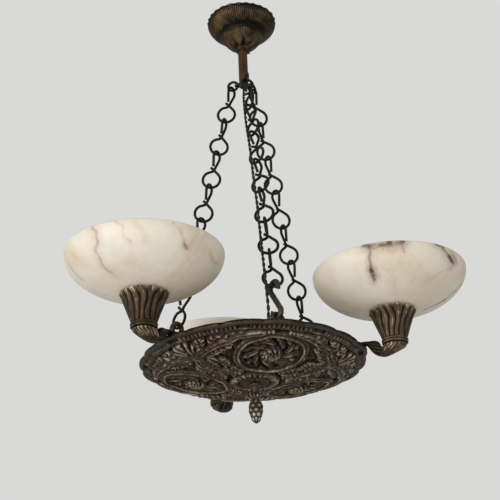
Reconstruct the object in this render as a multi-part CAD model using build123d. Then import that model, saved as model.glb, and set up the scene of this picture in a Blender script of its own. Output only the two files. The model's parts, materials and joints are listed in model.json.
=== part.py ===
from build123d import *
import os
from math import atan2, cos, degrees, hypot, pi, radians, sin, tan

# Three-arm pendant: a fluted canopy and stem, three chains of bent-wire links, a cast
# relief dish with a pine-cone finial, and three arms that carry fluted cups, alabaster
# bowls and lamps. Millimetres, Z up. The origin is the centre of the hanging eye's bore.

os.makedirs("parts", exist_ok=True)

# ---- driving dimensions -------------------------------------------------------------
# heights, measured from the hanging eye
CANOPY_RIM_Z = -24.0
CANOPY_DEPTH = 62.0
STEM_BOTTOM_Z = -158.0
PLATE_RIM_Z = -678.0

# hanging clevis and stem
EYE_BORE_R, EYE_OUTER_R, EYE_THICK = 7.0, 13.0, 7.0
PIN_R, PIN_Z = 2.5, -28.0
EAR_THICK, EAR_GAP = 3.5, 10.6
STEM_R, STEM_WALL = 7.5, 2.0
STEM_TOP_Z = -44.0
HANGER_DISC_R, HANGER_DISC_THICK = 10.5, 3.0
HANGER_NECK_R, HANGER_NECK_LENGTH = 4.4, 10.0
HANGER_HOLE_R, HANGER_HOLE_RADIUS = 2.8, 7.3
CORD_BORE_R = 3.1

# canopy
CANOPY_RIM_R, CANOPY_WALL, CANOPY_LOBES = 62.4, 2.0, 26

# chains: bent wire, each link a teardrop above and a round eye below
WIRE_R = 2.1
TOP_RING_R = 8.7
EYE_WIRE_CIRCLE_D = 29.4
TEARDROP_TOP_R = 10.3
LINKS = 7
LINK_GAP = 0.25
CHAIN_AZIMUTHS = {"front": 270.0, "right": 30.0, "left": 150.0}
EYE_FACINGS = {
    "front": (200, 212, 224, 236, 246, 254, 262),
    "right": (262, 250, 258, 266, 252, 262, 250),
    "left": (248, 262, 250, 256, 240, 225, 207),
}
HOOK_FACINGS = {"front": 290, "right": 250, "left": 207}

# hooks between the chains and the plate
HOOK_WIRE_R, HOOK_BEND_R, HOOK_LENGTH = 3.5, 9.0, 66.0
HOOK_TOP_RADIUS, HOOK_TOP_ABOVE_RIM = 125.6, 83.2
EYE_BOLT_WIRE_R, EYE_BOLT_RING_R = 3.0, 8.0

# plate
PLATE_R, PLATE_DEPTH, PLATE_WALL = 180.0, 30.0, 4.0
LOBE_RISE = 5.0
WIDE_LOBE_DEG, NARROW_LOBE_DEG = 86.0, 34.0
RIM_BAND = 9.0
ROUNDEL_RADIUS, ROUNDEL_R, ROUNDEL_PAN_R = 98.0, 58.5, 46.0
ROUNDEL_BACK = 7.4
GADROONS, GADROON_OUTER_R, GADROON_INNER_R = 22, 38.5, 25.0
STRAP_R = 3.6

# arms, cups and bowls
ARM_AZIMUTHS = {"right": 330.0, "back": 90.0, "left": 210.0}
BOWL_RADIUS = 223.9
BOWL_R, BOWL_DEPTH, BOWL_WALL = 119.9, 66.0, 8.0
BOWL_RIM_ABOVE = 120.6
CUP_LIP_R, CUP_LIP_ABOVE, CUP_FOOT_ABOVE, CUP_FLUTES = 36.5, 56.0, 4.5, 16
CUP_RING_R = 21.0
ARM_R, ARM_BORE_R = 8.5, 3.0
NIPPLE_R, NIPPLE_BORE_R = 5.0, 3.0

# lamps
HOLDER_R, HOLDER_LENGTH = 14.0, 40.0
BULB_R, BULB_THREAD_R = 22.5, 6.7

# flex
FLEX_R = 2.6


# ---- helpers ------------------------------------------------------------------------
def around(shape, azimuth):
    """The shape modelled on +X, turned about the vertical axis."""
    return Rot(0, 0, azimuth) * shape


def tube(outer_r, inner_r, low, high):
    """An upright tube between two heights."""
    ring = Circle(outer_r) - Circle(inner_r)
    return Pos(0, 0, low) * extrude(ring, high - low)


def rod(radius, low, high):
    return Pos(0, 0, low) * extrude(Circle(radius), high - low)


def turned(profile):
    """A solid turned about Z from its half section, a closed list of (radius, height)."""
    outline = Polyline(*[(r, 0, z) for r, z in profile], close=True)
    return revolve(make_face(outline), Axis.Z)


def wire_form(points, radius, sides=6):
    """A bent wire: polygons square to the path at each of its points, joined flat. The radius
    is one number, or one for each point."""
    points = [Vector(*p) for p in points]
    radii = radius if isinstance(radius, (list, tuple)) else [radius] * len(points)
    steps = [(b - a).normalized() for a, b in zip(points, points[1:])]
    turns = [steps[0]] + [(a + b).normalized() for a, b in zip(steps, steps[1:])] + [steps[-1]]
    side = turns[0].cross(Vector(0, 1, 0))
    if side.length < 0.1:
        side = turns[0].cross(Vector(1, 0, 0))
    sections = []
    for point, along, r in zip(points, turns, radii):
        side = (side - along * side.dot(along)).normalized()
        other = along.cross(side)
        ring = []
        for k in range(sides):
            turn = 2 * pi * (k + 0.5) / sides
            ring.append(point + side * (r * cos(turn)) + other * (r * sin(turn)))
        sections.append(Wire.make_polygon(ring, close=True))
    return Solid.make_loft(sections, True)


def fluted_wire(radius, depth, count, height):
    """A star-shaped outline: `count` ridges of `radius`, with valleys `depth` inside."""
    corners = []
    for k in range(2 * count):
        r = radius if k % 2 == 0 else radius - depth
        turn = pi * k / count
        corners.append((r * cos(turn), r * sin(turn), height))
    return Wire.make_polygon(corners, close=True)


def cord_radii(points):
    """The largest bends that a cord's runs allow, one for each corner of its route."""
    radii = []
    for a, b, c in zip(points, points[1:], points[2:]):
        before = Vector(*b) - Vector(*a)
        after = Vector(*c) - Vector(*b)
        shorter = min(before.length, after.length)
        radii.append(0.45 * shorter / tan(radians(before.get_angle(after)) / 2))
    return radii


def cord(points, radius):
    """A round cord along straight runs joined by tangent arcs."""
    radii = cord_radii(points)
    path = FilletPolyline(*points, radius=radii)
    start = Plane(origin=points[0], z_dir=Vector(*points[1]) - Vector(*points[0]))
    print("cord bends", [round(r) for r in radii], "length", round(path.length))
    return sweep(start * Circle(radius), path=path)


def save(shape, name):
    export_step(shape, f"parts/{name}.step")


def save_group(shapes, name):
    export_step(Compound(children=list(shapes)), f"parts/{name}.step")


# ---- top: clevis, stem and canopy ---------------------------------------------------
def hanging_clevis():
    """A cast eye over a fork whose two ears hold the stem's cross pin."""
    half_width = EAR_GAP / 2 + EAR_THICK
    bridge_top = -EYE_OUTER_R + 2
    bridge_bottom = bridge_top - 6
    eye = extrude(Plane.XZ * Circle(EYE_OUTER_R), EYE_THICK / 2, both=True)
    bridge = Pos(0, 0, (bridge_top + bridge_bottom) / 2) * Box(2 * half_width, 11, 6)
    clevis = eye + bridge
    for side in (-1, 1):
        x = side * (EAR_GAP + EAR_THICK) / 2
        ear = Pos(x, 0, (bridge_bottom + PIN_Z) / 2) * Box(EAR_THICK, 11, bridge_bottom - PIN_Z)
        round_end = Pos(x, 0, PIN_Z) * Rot(0, 90, 0) * Cylinder(5.5, EAR_THICK)
        clevis += ear + round_end
    clevis -= Pos(0, 0, PIN_Z) * Rot(0, 90, 0) * Cylinder(PIN_R, 4 * half_width)
    return clevis - extrude(Plane.XZ * Circle(EYE_BORE_R), EYE_THICK, both=True)


def clevis_pin():
    """A riveted pin through both ears."""
    length = EAR_GAP + 2 * EAR_THICK
    head = 1.6
    pin = Cylinder(PIN_R, length)
    for side in (-1, 1):
        pin += Pos(0, 0, side * (length + head) / 2) * Cylinder(PIN_R + 1.6, head)
    return Pos(0, 0, PIN_Z) * Rot(0, 90, 0) * pin


def stem_head():
    """A plug in the top of the stem, with a tongue that turns on the pin."""
    tongue_thick = EAR_GAP - 1.0
    spigot_r = STEM_R - STEM_WALL
    head = rod(STEM_R, STEM_TOP_Z, STEM_TOP_Z + 7) + rod(spigot_r, STEM_TOP_Z - 12, STEM_TOP_Z)
    height = PIN_Z - (STEM_TOP_Z + 6)
    tongue = Pos(0, 0, PIN_Z - height / 2) * Box(tongue_thick, 9, height)
    tongue += Pos(0, 0, PIN_Z) * Rot(0, 90, 0) * Cylinder(4.5, tongue_thick)
    head += tongue
    return head - Pos(0, 0, PIN_Z) * Rot(0, 90, 0) * Cylinder(PIN_R + 0.05, 2 * tongue_thick)


HANGER_TOP_Z = STEM_BOTTOM_Z + HANGER_DISC_THICK + HANGER_NECK_LENGTH + 2.5
SWING_Z = STEM_BOTTOM_Z + HANGER_DISC_THICK / 2


def stem_tube():
    return tube(STEM_R, STEM_R - STEM_WALL, HANGER_TOP_Z, STEM_TOP_Z)


def chain_hanger():
    """A turned end piece in the stem: a flange, a neck and a disc with three ring holes."""
    spigot_top = HANGER_TOP_Z + 14
    flange_bottom = HANGER_TOP_Z - 2.5
    disc_top = STEM_BOTTOM_Z + HANGER_DISC_THICK
    hanger = turned([
        (CORD_BORE_R, STEM_BOTTOM_Z), (HANGER_DISC_R - 0.8, STEM_BOTTOM_Z),
        (HANGER_DISC_R, STEM_BOTTOM_Z + 0.8), (HANGER_DISC_R, disc_top - 0.8),
        (HANGER_DISC_R - 0.8, disc_top), (HANGER_NECK_R, disc_top),
        (HANGER_NECK_R, flange_bottom - 2), (STEM_R - 1, flange_bottom),
        (STEM_R, flange_bottom + 1), (STEM_R, HANGER_TOP_Z),
        (STEM_R - STEM_WALL, HANGER_TOP_Z), (STEM_R - STEM_WALL, spigot_top),
        (CORD_BORE_R, spigot_top),
    ])
    for azimuth in CHAIN_AZIMUTHS.values():
        hole = Pos(HANGER_HOLE_RADIUS, 0, SWING_Z) * Cylinder(HANGER_HOLE_R, 3 * HANGER_DISC_THICK)
        hanger -= around(hole, azimuth)
    return hanger


# half section of the canopy from its rim to the stem: share of rim radius, share of depth
CANOPY_SECTION = (
    (1.0, 0.0), (1.0, 0.06), (0.975, 0.2), (0.88, 0.42), (0.68, 0.66), (0.42, 0.85), (0.2, 1.0),
)


def canopy():
    """A thin gadrooned dish, open upward, with a hole for the stem."""
    sections = []
    for share_r, share_z in CANOPY_SECTION:
        radius = CANOPY_RIM_R * share_r
        depth = 1.6 * share_r
        height = CANOPY_RIM_Z - CANOPY_DEPTH * share_z
        sections.append(fluted_wire(radius, depth, CANOPY_LOBES, height))
    dish = Solid.make_loft(sections, True)
    inside = [(0, CANOPY_RIM_Z + 1), (CANOPY_RIM_R - 1.6 - CANOPY_WALL, CANOPY_RIM_Z + 1)]
    for share_r, share_z in CANOPY_SECTION[1:]:
        radius = CANOPY_RIM_R * share_r - 1.6 * share_r - CANOPY_WALL
        inside.append((radius, CANOPY_RIM_Z - CANOPY_DEPTH * share_z + CANOPY_WALL * (share_z + 0.2)))
    inside.append((0, inside[-1][1]))
    dish -= turned(inside)
    return dish - Cylinder(STEM_R + 0.4, 400)


def canopy_collar():
    """A small flared collar that clamps the canopy to the stem."""
    top = CANOPY_RIM_Z - CANOPY_DEPTH
    bore = STEM_R + 0.08
    collar = turned([
        (bore, top), (13.5, top), (12.0, top - 2.5), (10.0, top - 4.0),
        (9.6, top - 9.5), (bore, top - 9.5),
    ])
    return collar - screw_at_collar(1.5)


def screw_at_collar(radius):
    z = CANOPY_RIM_Z - CANOPY_DEPTH - 6.6
    return Pos(0, 0, z) * Rot(0, 90, 0) * Pos(0, 0, STEM_R + 0.3) * extrude(Circle(radius), 2.4)


def canopy_set_screw():
    z = CANOPY_RIM_Z - CANOPY_DEPTH - 6.6
    head_start = 9.95
    head = Pos(0, 0, z) * Rot(0, 90, 0) * Pos(0, 0, head_start) * extrude(Circle(2.6), 2.2)
    return screw_at_collar(1.5) + head


# ---- chains -------------------------------------------------------------------------
CONTACT = 2 * WIRE_R + LINK_GAP
RING_CENTRE_RADIUS = HANGER_HOLE_RADIUS + TOP_RING_R
CHAIN_RUN = HOOK_TOP_RADIUS - RING_CENTRE_RADIUS
CHAIN_DROP = SWING_Z - (PLATE_RIM_Z + HOOK_TOP_ABOVE_RIM)
CHAIN_LENGTH = hypot(CHAIN_RUN, CHAIN_DROP)
CHAIN_LEAN = atan2(CHAIN_RUN, CHAIN_DROP)
HOOK_CONTACT = WIRE_R + HOOK_WIRE_R + LINK_GAP
LINK_PITCH = (CHAIN_LENGTH + HOOK_CONTACT - TOP_RING_R) / LINKS
TEARDROP_HEIGHT = LINK_PITCH + CONTACT - EYE_WIRE_CIRCLE_D


def chain_plane(azimuth, distance, facing):
    """The frame of a piece on a chain: z up the chain, y toward `facing`, as near as can be."""
    out = Vector(cos(radians(azimuth)), sin(radians(azimuth)), 0)
    down = out * sin(CHAIN_LEAN) + Vector(0, 0, -cos(CHAIN_LEAN))
    origin = out * RING_CENTRE_RADIUS + Vector(0, 0, SWING_Z) + down * distance
    toward = Vector(cos(radians(facing)), sin(radians(facing)), 0)
    toward = (toward - down * toward.dot(down)).normalized()
    return Plane(origin=origin, x_dir=toward.cross(down * -1), z_dir=down * -1)


def link_points():
    """One link's wire, with its waist at the origin: a stub, the round eye in the XZ plane,
    then the teardrop in the YZ plane and its own short end."""
    eye_r = EYE_WIRE_CIRCLE_D / 2
    first = radians(17)
    points = [(-9.0, 1.2, 4.6), (-6.4, 0.4, 2.0)]
    eye_steps = 11
    for k in range(eye_steps + 1):
        turn = first + (2 * pi - 2 * first) * k / eye_steps
        points.append((-eye_r * sin(turn), 0, eye_r * cos(turn) - eye_r))
    points += [(2.2, 1.9, 2.6), (0, 3.0, 6.0)]
    top_z = TEARDROP_HEIGHT - TEARDROP_TOP_R
    top_steps = 8
    reach = radians(112)
    for k in range(top_steps + 1):
        turn = reach - 2 * reach * k / top_steps
        points.append((0, TEARDROP_TOP_R * sin(turn), top_z + TEARDROP_TOP_R * cos(turn)))
    points += [(0, -3.0, 6.0), (-0.4, -3.4, 1.6), (-0.8, -5.6, -2.2)]
    return points


def ring_points(radius, steps, share=1.0):
    """Points round a circle in the XZ plane, from the top, for `share` of a turn."""
    return [
        (radius * sin(2 * pi * share * k / steps), 0, radius * cos(2 * pi * share * k / steps))
        for k in range(steps + 1)
    ]


def closed_ring(radius, wire_r, steps, sides=6):
    """A closed ring of straight bars, in the XZ plane, made of two halves."""
    half = wire_form_between(ring_points(radius, steps), steps // 2, wire_r, sides)
    return half + Rot(0, 180, 0) * half


def wire_form_between(points, last, radius, sides):
    """Half of a closed wire, whose end faces lie flat on the plane that halves it."""
    before = Vector(*points[1])
    start = Vector(-before.X, before.Y, before.Z)
    after = Vector(*points[last - 1])
    end = Vector(-after.X, after.Y, after.Z)
    whole = [tuple(start)] + list(points[:last + 1]) + [tuple(end)]
    solid = wire_form(whole, radius, sides)
    return split(solid, bisect_by=Plane.YZ, keep=Keep.TOP)


def top_rings():
    """The rings that join the stem's hanger to the chains, in upright radial planes."""
    ring = closed_ring(TOP_RING_R, WIRE_R, 12)
    return [
        around(Pos(RING_CENTRE_RADIUS, 0, SWING_Z) * ring, azimuth)
        for azimuth in CHAIN_AZIMUTHS.values()
    ]


def chain(name):
    link = wire_form(link_points(), WIRE_R)
    first_waist = TOP_RING_R - CONTACT + TEARDROP_HEIGHT
    return [
        chain_plane(CHAIN_AZIMUTHS[name], first_waist + LINK_PITCH * k, facing).location * link
        for k, facing in enumerate(EYE_FACINGS[name])
    ]


def s_hook(name):
    """A thick S-shaped hook: its upper bend holds the last link, its lower one the eye bolt."""
    low = -HOOK_LENGTH
    bend = HOOK_BEND_R

    def arc(centre_z, start, stop, steps):
        angles = [radians(start + (stop - start) * k / steps) for k in range(steps + 1)]
        return [(0, bend * cos(a), centre_z + bend * sin(a)) for a in angles]

    upper = arc(-bend, -40, 195, 9)
    lower = arc(low + bend, 15, -225, 9)
    hook = wire_form(upper + lower, HOOK_WIRE_R, 8)
    return chain_plane(CHAIN_AZIMUTHS[name], CHAIN_LENGTH, HOOK_FACINGS[name]).location * hook


EYE_RING_DROP = CHAIN_LENGTH + HOOK_LENGTH - HOOK_WIRE_R - EYE_BOLT_WIRE_R - LINK_GAP + EYE_BOLT_RING_R


def eye_bolt(name):
    """A ring on a shank that screws into a boss of the plate."""
    plane = chain_plane(CHAIN_AZIMUTHS[name], EYE_RING_DROP, HOOK_FACINGS[name])
    ring = plane.location * closed_ring(EYE_BOLT_RING_R, EYE_BOLT_WIRE_R, 12, 8)
    centre = plane.origin
    shank_top = centre.Z - EYE_BOLT_RING_R
    shank = Pos(centre.X, centre.Y, 0) * rod(3.2, boss_top(name) - BOSS_HOLE_DEPTH, shank_top)
    collar = Pos(centre.X, centre.Y, 0) * rod(5.5, boss_top(name), boss_top(name) + 2.5)
    return ring + shank + collar


# ---- plate --------------------------------------------------------------------------
BOSS_HOLE_DEPTH = 7.0


def dish_z(radius, lift=0.0):
    """Height of the plate's underside at a radius, or that much above it."""
    share = min(radius / PLATE_R, 1.0)
    return PLATE_RIM_Z - PLATE_DEPTH * (1 - share ** 2.2) + lift


def boss_top(name):
    centre = chain_plane(CHAIN_AZIMUTHS[name], EYE_RING_DROP, HOOK_FACINGS[name]).origin
    return dish_z(hypot(centre.X, centre.Y), PLATE_WALL) + 9.0


def plate_outline(inset=0.0):
    """Six lobes round the rim, a wide one outside each chain and a narrow one at each arm."""
    radius = PLATE_R - inset
    edges = []
    start = CHAIN_AZIMUTHS["front"] - WIDE_LOBE_DEG / 2
    for width in (WIDE_LOBE_DEG, NARROW_LOBE_DEG) * 3:
        rise = LOBE_RISE * (0.75 if width == NARROW_LOBE_DEG else 1.0)
        corner = radius - LOBE_RISE
        middle = radius - LOBE_RISE + rise if width == WIDE_LOBE_DEG else radius - LOBE_RISE * 0.4
        ends = [radians(start), radians(start + width / 2), radians(start + width)]
        reach = (corner, middle, corner)
        edges.append(ThreePointArc(*[(r * cos(a), r * sin(a)) for r, a in zip(reach, ends)]))
        start += width
    return make_face(Wire(edges))


def dish_profile(lift):
    """Points of the dish's section from the middle out, raised by `lift`."""
    radii = [PLATE_R * k / 9 for k in range(10)] + [PLATE_R + 8]
    return [(r, dish_z(r, lift) if r <= PLATE_R else PLATE_RIM_Z + 1.5 + lift) for r in radii]


def roundel():
    """A recessed medallion in the XY plane: a double ring, a sunk floor and a fluted boss."""
    pan = turned([
        (ROUNDEL_R, -5), (ROUNDEL_R, 2.0), (56.5, 4.6), (54.0, 5.0), (52.0, 3.0), (50.5, 3.6),
        (48.5, 2.6), (ROUNDEL_PAN_R, -2.6), (0, -4.4), (0, -ROUNDEL_BACK), (50.0, -ROUNDEL_BACK),
        (54.0, -6.4)])
    levels = ((-5, 19.0), (-0.5, 18.0), (3.2, 12.0), (5.2, 6.0))
    boss = Solid.make_loft([fluted_wire(r, 0.12 * r, 10, z) for z, r in levels], True)
    return pan + boss


def gadroon_ring():
    """A rosette of radial flutes round the finial's foot, on the dish's underside."""
    depths = ((2.0, GADROON_OUTER_R), (-3.4, GADROON_OUTER_R - 2.5), (-4.6, GADROON_INNER_R))
    levels = [fluted_wire(r, 0.07 * r, GADROONS, dish_z(r, depth)) for depth, r in depths]
    return Solid.make_loft(levels, True)


# a strap's way from an arm's shell round a roundel to the rim: degrees from the arm, radius
STRAP_WAY = ((7, 131), (16, 137), (25, 142), (34, 146), (42, 152), (48, 159), (53, 166))


def strap(side):
    """A raised band that leaves the shell and follows the roundel's outside to the rim."""
    points = []
    for turn, radius in STRAP_WAY:
        a = radians(side * turn)
        points.append((radius * cos(a), radius * sin(a), dish_z(radius, 0.4)))
    return wire_form(points, STRAP_R, 6)


def shell_rays():
    """Seven ribs that fan out from an arm's foot to the rim, modelled along +X."""
    rays = None
    for k in range(-3, 4):
        ray = wire_form([(0, 0, 0), (24, 0, 1.4), (44 - abs(k) * 3, 0, 0.4)], 4.2 - 0.3 * abs(k), 6)
        ray = Rot(0, 0, 19 * k) * ray
        rays = ray if rays is None else rays + ray
    return rays


def on_underside(shape, radius, azimuth):
    """The shape's XY plane laid on the dish's underside, its +Z outward and down."""
    step = 2.0
    slope = (dish_z(radius + step) - dish_z(radius - step)) / (2 * step)
    lean = degrees(atan2(slope, 1))
    seated = Pos(radius, 0, dish_z(radius)) * Rot(0, -lean, 0) * Rot(180, 0, 0) * shape
    return around(seated, azimuth)


def plate():
    """A lobed cast dish with a raised rim band, three roundels, shells and screw bosses."""
    shell = turned(dish_profile(0.0) + dish_profile(PLATE_WALL)[::-1])
    prism = Pos(0, 0, PLATE_RIM_Z - 60) * extrude(plate_outline(), 90)
    dish = shell & prism
    band = plate_outline() - plate_outline(RIM_BAND)
    dish += Pos(0, 0, PLATE_RIM_Z - 2.2) * extrude(band, 5.5)
    for azimuth in CHAIN_AZIMUTHS.values():
        dish -= on_underside(Cylinder(ROUNDEL_PAN_R + 1.0, 30), ROUNDEL_RADIUS, azimuth)
        dish += on_underside(roundel(), ROUNDEL_RADIUS, azimuth)
    for azimuth in ARM_AZIMUTHS.values():
        dish += on_underside(shell_rays(), 122, azimuth)
        for side in (-1, 1):
            dish += around(strap(side), azimuth) & prism
    dish += gadroon_ring()
    dish += Pos(0, 0, dish_z(0)) * turned([(0, 2), (26, 2), (24, -3.4), (13, -6.0), (0, -6.0)])
    dish += rod(12, dish_z(0) + 1, NUT_SEAT_Z)
    for name in CHAIN_AZIMUTHS:
        centre = chain_plane(CHAIN_AZIMUTHS[name], EYE_RING_DROP, HOOK_FACINGS[name]).origin
        top = boss_top(name)
        spot = Pos(centre.X, centre.Y, 0)
        dish += spot * rod(7.5, top - 9 - PLATE_WALL / 2, top)
        dish -= spot * rod(3.2, top - BOSS_HOLE_DEPTH, top + 1)
    for azimuth in ARM_AZIMUTHS.values():
        dish += around(arm_pad(), azimuth)
        for hole in arm_screw_places():
            dish -= around(hole * rod(ARM_SCREW_R, PAD_TOP_Z - ARM_SCREW_BITE, PAD_TOP_Z + 1), azimuth)
    return dish - rod(FINIAL_ROD_R, dish_z(0) - 10, dish_z(0) + 20)


# ---- finial -------------------------------------------------------------------------
FINIAL_ROD_R = 3.0
FINIAL_TOP_Z = PLATE_RIM_Z - PLATE_DEPTH - 6.0
NUT_SEAT_Z = PLATE_RIM_Z - PLATE_DEPTH + PLATE_WALL + 1.5
FINIAL_SECTION = (
    (0, 0), (9, 0), (9.5, -3), (6, -6), (5, -14), (7.5, -17), (7.5, -20), (5.5, -23),
    (8.5, -27), (10.8, -33), (11.3, -39), (10.4, -46), (8.2, -53), (5, -59), (2, -62), (0, -63),
)


def finial():
    """A turned stalk and a bud-shaped cone, bored for the rod that holds it."""
    shape = turned([(r, FINIAL_TOP_Z + z) for r, z in FINIAL_SECTION])
    return shape - rod(FINIAL_ROD_R, FINIAL_TOP_Z - 16, FINIAL_TOP_Z + 1)


def finial_rod():
    return rod(FINIAL_ROD_R, FINIAL_TOP_Z - 14, NUT_SEAT_Z + 9)


def finial_nut():
    low = NUT_SEAT_Z
    nut = Pos(0, 0, low + 1.5) * extrude(RegularPolygon(7, 6), 5)
    nut += tube(9, FINIAL_ROD_R, low, low + 1.5)
    return nut - rod(FINIAL_ROD_R, low - 1, low + 10)


# ---- arms ---------------------------------------------------------------------------
PAD_TOP_Z = PLATE_RIM_Z - 1.0
PAD_INNER, PAD_OUTER, PAD_WIDTH = 136.0, 163.0, 26.0
ARM_SCREW_R, ARM_SCREW_BITE = 2.0, 6.0
FOOT_THICK = 8.0


def arm_pad():
    """A flat pad cast inside the dish, which an arm's foot stands on."""
    middle = (PAD_INNER + PAD_OUTER) / 2
    low = dish_z(middle) + 1.0
    size = Box(PAD_OUTER - PAD_INNER, PAD_WIDTH, PAD_TOP_Z - low)
    return Pos(middle, 0, (PAD_TOP_Z + low) / 2) * size


def arm_screw_places():
    middle = (PAD_INNER + PAD_OUTER) / 2
    return [Pos(middle - 9, y, 0) for y in (-8.5, 8.5)]


ARM_FACE_Z = PLATE_RIM_Z + CUP_FOOT_ABOVE - 8.0


ELBOW_START_Z, ELBOW_BEND_R = ARM_FACE_Z - 2.5, 13.5
ROOT_Z, ROOT_BEND_R, ROOT_BEND_RADIUS = PLATE_RIM_Z + 14.0, 14.0, 183.4
RISE_DEG = 60.0


def arm_path():
    """Centreline of an arm, in the XZ plane: out of the ring, round the elbow, up and inward."""
    corner_drop = ELBOW_BEND_R * tan(radians(90 + RISE_DEG) / 2)
    points = (
        (BOWL_RADIUS, 0, ARM_FACE_Z),
        (BOWL_RADIUS, 0, ELBOW_START_Z - corner_drop),
        (ROOT_BEND_RADIUS, 0, ROOT_Z),
        (PAD_INNER + 3, 0, ROOT_Z),
    )
    return FilletPolyline(*points, radius=[ELBOW_BEND_R, ROOT_BEND_R])


# the cast leaf sheath round the elbow: radius from the ring's end to the tip on the root
SHEATH_RADII = (12.5, 12.8, 13.0, 12.6, 12.0, 11.2, 10.4, 9.6, 8.9)


def sheath(path):
    """A fluted sleeve along the elbow, widest below the ring and dying out on the rise."""
    places = [0.07 + 0.05 * k for k in range(len(SHEATH_RADII))]
    return wire_form([tuple(path @ t) for t in places], list(SHEATH_RADII), 10)


def arm():
    """A cast arm: flared collar, sheathed elbow, straight root and a screwed foot."""
    path = arm_path()
    start = Plane(origin=(BOWL_RADIUS, 0, ARM_FACE_Z), z_dir=(0, 0, -1))
    body = sweep(start * RegularPolygon(ARM_R, 12), path=path)
    flare = Pos(BOWL_RADIUS, 0, ARM_FACE_Z) * turned([
        (0, 0), (17, 0), (16.5, -2), (13.5, -5), (11, -9), (0, -9)])
    foot = Pos((PAD_INNER + PAD_OUTER) / 2, 0, PAD_TOP_Z + FOOT_THICK / 2) * Box(
        PAD_OUTER - PAD_INNER, PAD_WIDTH - 2, FOOT_THICK)
    casting = body + flare + foot + sheath(path)
    for place in arm_screw_places():
        casting -= place * rod(ARM_SCREW_R + 0.3, PAD_TOP_Z - 1, PAD_TOP_Z + FOOT_THICK)
        casting -= place * rod(4.4, PAD_TOP_Z + FOOT_THICK, PAD_TOP_Z + 40)
    bore = sweep(start * RegularPolygon(ARM_BORE_R, 6), path=path)
    return casting - bore - Pos(BOWL_RADIUS, 0, 0) * rod(NIPPLE_R, ARM_FACE_Z - 6, ARM_FACE_Z + 1)


def arm_screws():
    """Two cheese-head screws through the foot of each arm."""
    top = PAD_TOP_Z + FOOT_THICK
    screw = rod(ARM_SCREW_R, PAD_TOP_Z - ARM_SCREW_BITE, top) + rod(3.8, top, top + 2.6)
    screw -= Pos(0, 0, top + 2.2) * Box(1, 10, 1.2)
    return [around(place * screw, a) for a in ARM_AZIMUTHS.values() for place in arm_screw_places()]


# ---- cups, bowls and lamps, modelled about their own axis ---------------------------
BOWL_RIM_Z = PLATE_RIM_Z + BOWL_RIM_ABOVE
BOWL_BOTTOM_Z = BOWL_RIM_Z - BOWL_DEPTH
CUP_FOOT_Z = PLATE_RIM_Z + CUP_FOOT_ABOVE
CUP_LIP_Z = PLATE_RIM_Z + CUP_LIP_ABOVE
WASHER = 2.0
SEAT_THICK = 2.5
SEAT_TOP_Z = BOWL_BOTTOM_Z - WASHER
BOWL_FLOOR_Z = BOWL_BOTTOM_Z + BOWL_WALL
NUT_THICK = 4.0
HOLDER_FOOT_Z = BOWL_FLOOR_Z + WASHER + NUT_THICK


def cup_ring():
    """A turned beaded ring between the arm and the cup."""
    low, high = ARM_FACE_Z, CUP_FOOT_Z
    return turned([
        (NIPPLE_R, low), (17, low), (20, low + 1.2), (CUP_RING_R, low + 3), (20, low + 4.6),
        (19, low + 5.2), (20, low + 6.2), (20, high), (NIPPLE_R, high)])


# the cup's outline: share of its height, radius over ridges
CUP_SECTION = ((0.0, 19.5), (0.12, 21.5), (0.35, 25.0), (0.62, 29.5), (0.84, 33.0), (1.0, CUP_LIP_R))


def cup():
    """A flared cup with deep flutes, a floor that the nipple passes and a ledge for its seat."""
    height = CUP_LIP_Z - CUP_FOOT_Z
    sections = [fluted_wire(r, 2.6, CUP_FLUTES, CUP_FOOT_Z + height * s) for s, r in CUP_SECTION]
    body = Solid.make_loft(sections, True)
    ledge = SEAT_TOP_Z - SEAT_THICK
    hollow = turned([
        (0, CUP_FOOT_Z + 5), (15, CUP_FOOT_Z + 5), (24.5, ledge - 6), (24.5, ledge),
        (28, ledge), (28, SEAT_TOP_Z), (31.5, CUP_LIP_Z + 1), (0, CUP_LIP_Z + 1)])
    return body - hollow - rod(NIPPLE_R, CUP_FOOT_Z - 1, CUP_FOOT_Z + 6)


def cup_seat():
    """The brass disc that closes the cup and carries the bowl."""
    low = SEAT_TOP_Z - SEAT_THICK
    return tube(27.9, NIPPLE_R, low, SEAT_TOP_Z)


def bowl():
    """A turned alabaster bowl: a half ellipse with a rounded lip and a flat foot."""
    lip_drop, foot_r, hole_r = 3.0, 19.0, NIPPLE_R + 1
    inner_r = BOWL_R - BOWL_WALL

    def half_ellipse(width, depth):
        turns = [radians(90 * k / 8) for k in range(9)]
        heights = [BOWL_RIM_Z - lip_drop - (depth - lip_drop) * sin(t) for t in turns]
        points = zip([width * cos(t) for t in turns], heights)
        return [(r, 0, z) for r, z in points if r > foot_r]

    outer = half_ellipse(BOWL_R, BOWL_DEPTH) + [(foot_r, 0, BOWL_BOTTOM_Z)]
    inner = half_ellipse(inner_r, BOWL_DEPTH - BOWL_WALL) + [(foot_r, 0, BOWL_FLOOR_Z)]
    top = ((inner_r + BOWL_R) / 2, 0, BOWL_RIM_Z)
    foot = Polyline(outer[-1], (hole_r, 0, BOWL_BOTTOM_Z), (hole_r, 0, BOWL_FLOOR_Z), inner[-1])
    lip = Spline(inner[0], top, outer[0], tangents=[(0, 0, 1), (0, 0, -1)])
    outline = [Spline(*outer), *foot.edges(), Spline(*inner[::-1]), lip]
    return revolve(make_face(Wire(outline)), Axis.Z)


def seat_washer():
    return tube(17, NIPPLE_R, SEAT_TOP_Z, BOWL_BOTTOM_Z)


def bowl_washer():
    return tube(15, NIPPLE_R, BOWL_FLOOR_Z, BOWL_FLOOR_Z + WASHER)


def bowl_nut():
    nut = Pos(0, 0, BOWL_FLOOR_Z + WASHER) * extrude(RegularPolygon(10.5, 6), NUT_THICK)
    return nut - rod(NIPPLE_R, BOWL_FLOOR_Z, HOLDER_FOOT_Z + 1)


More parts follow.
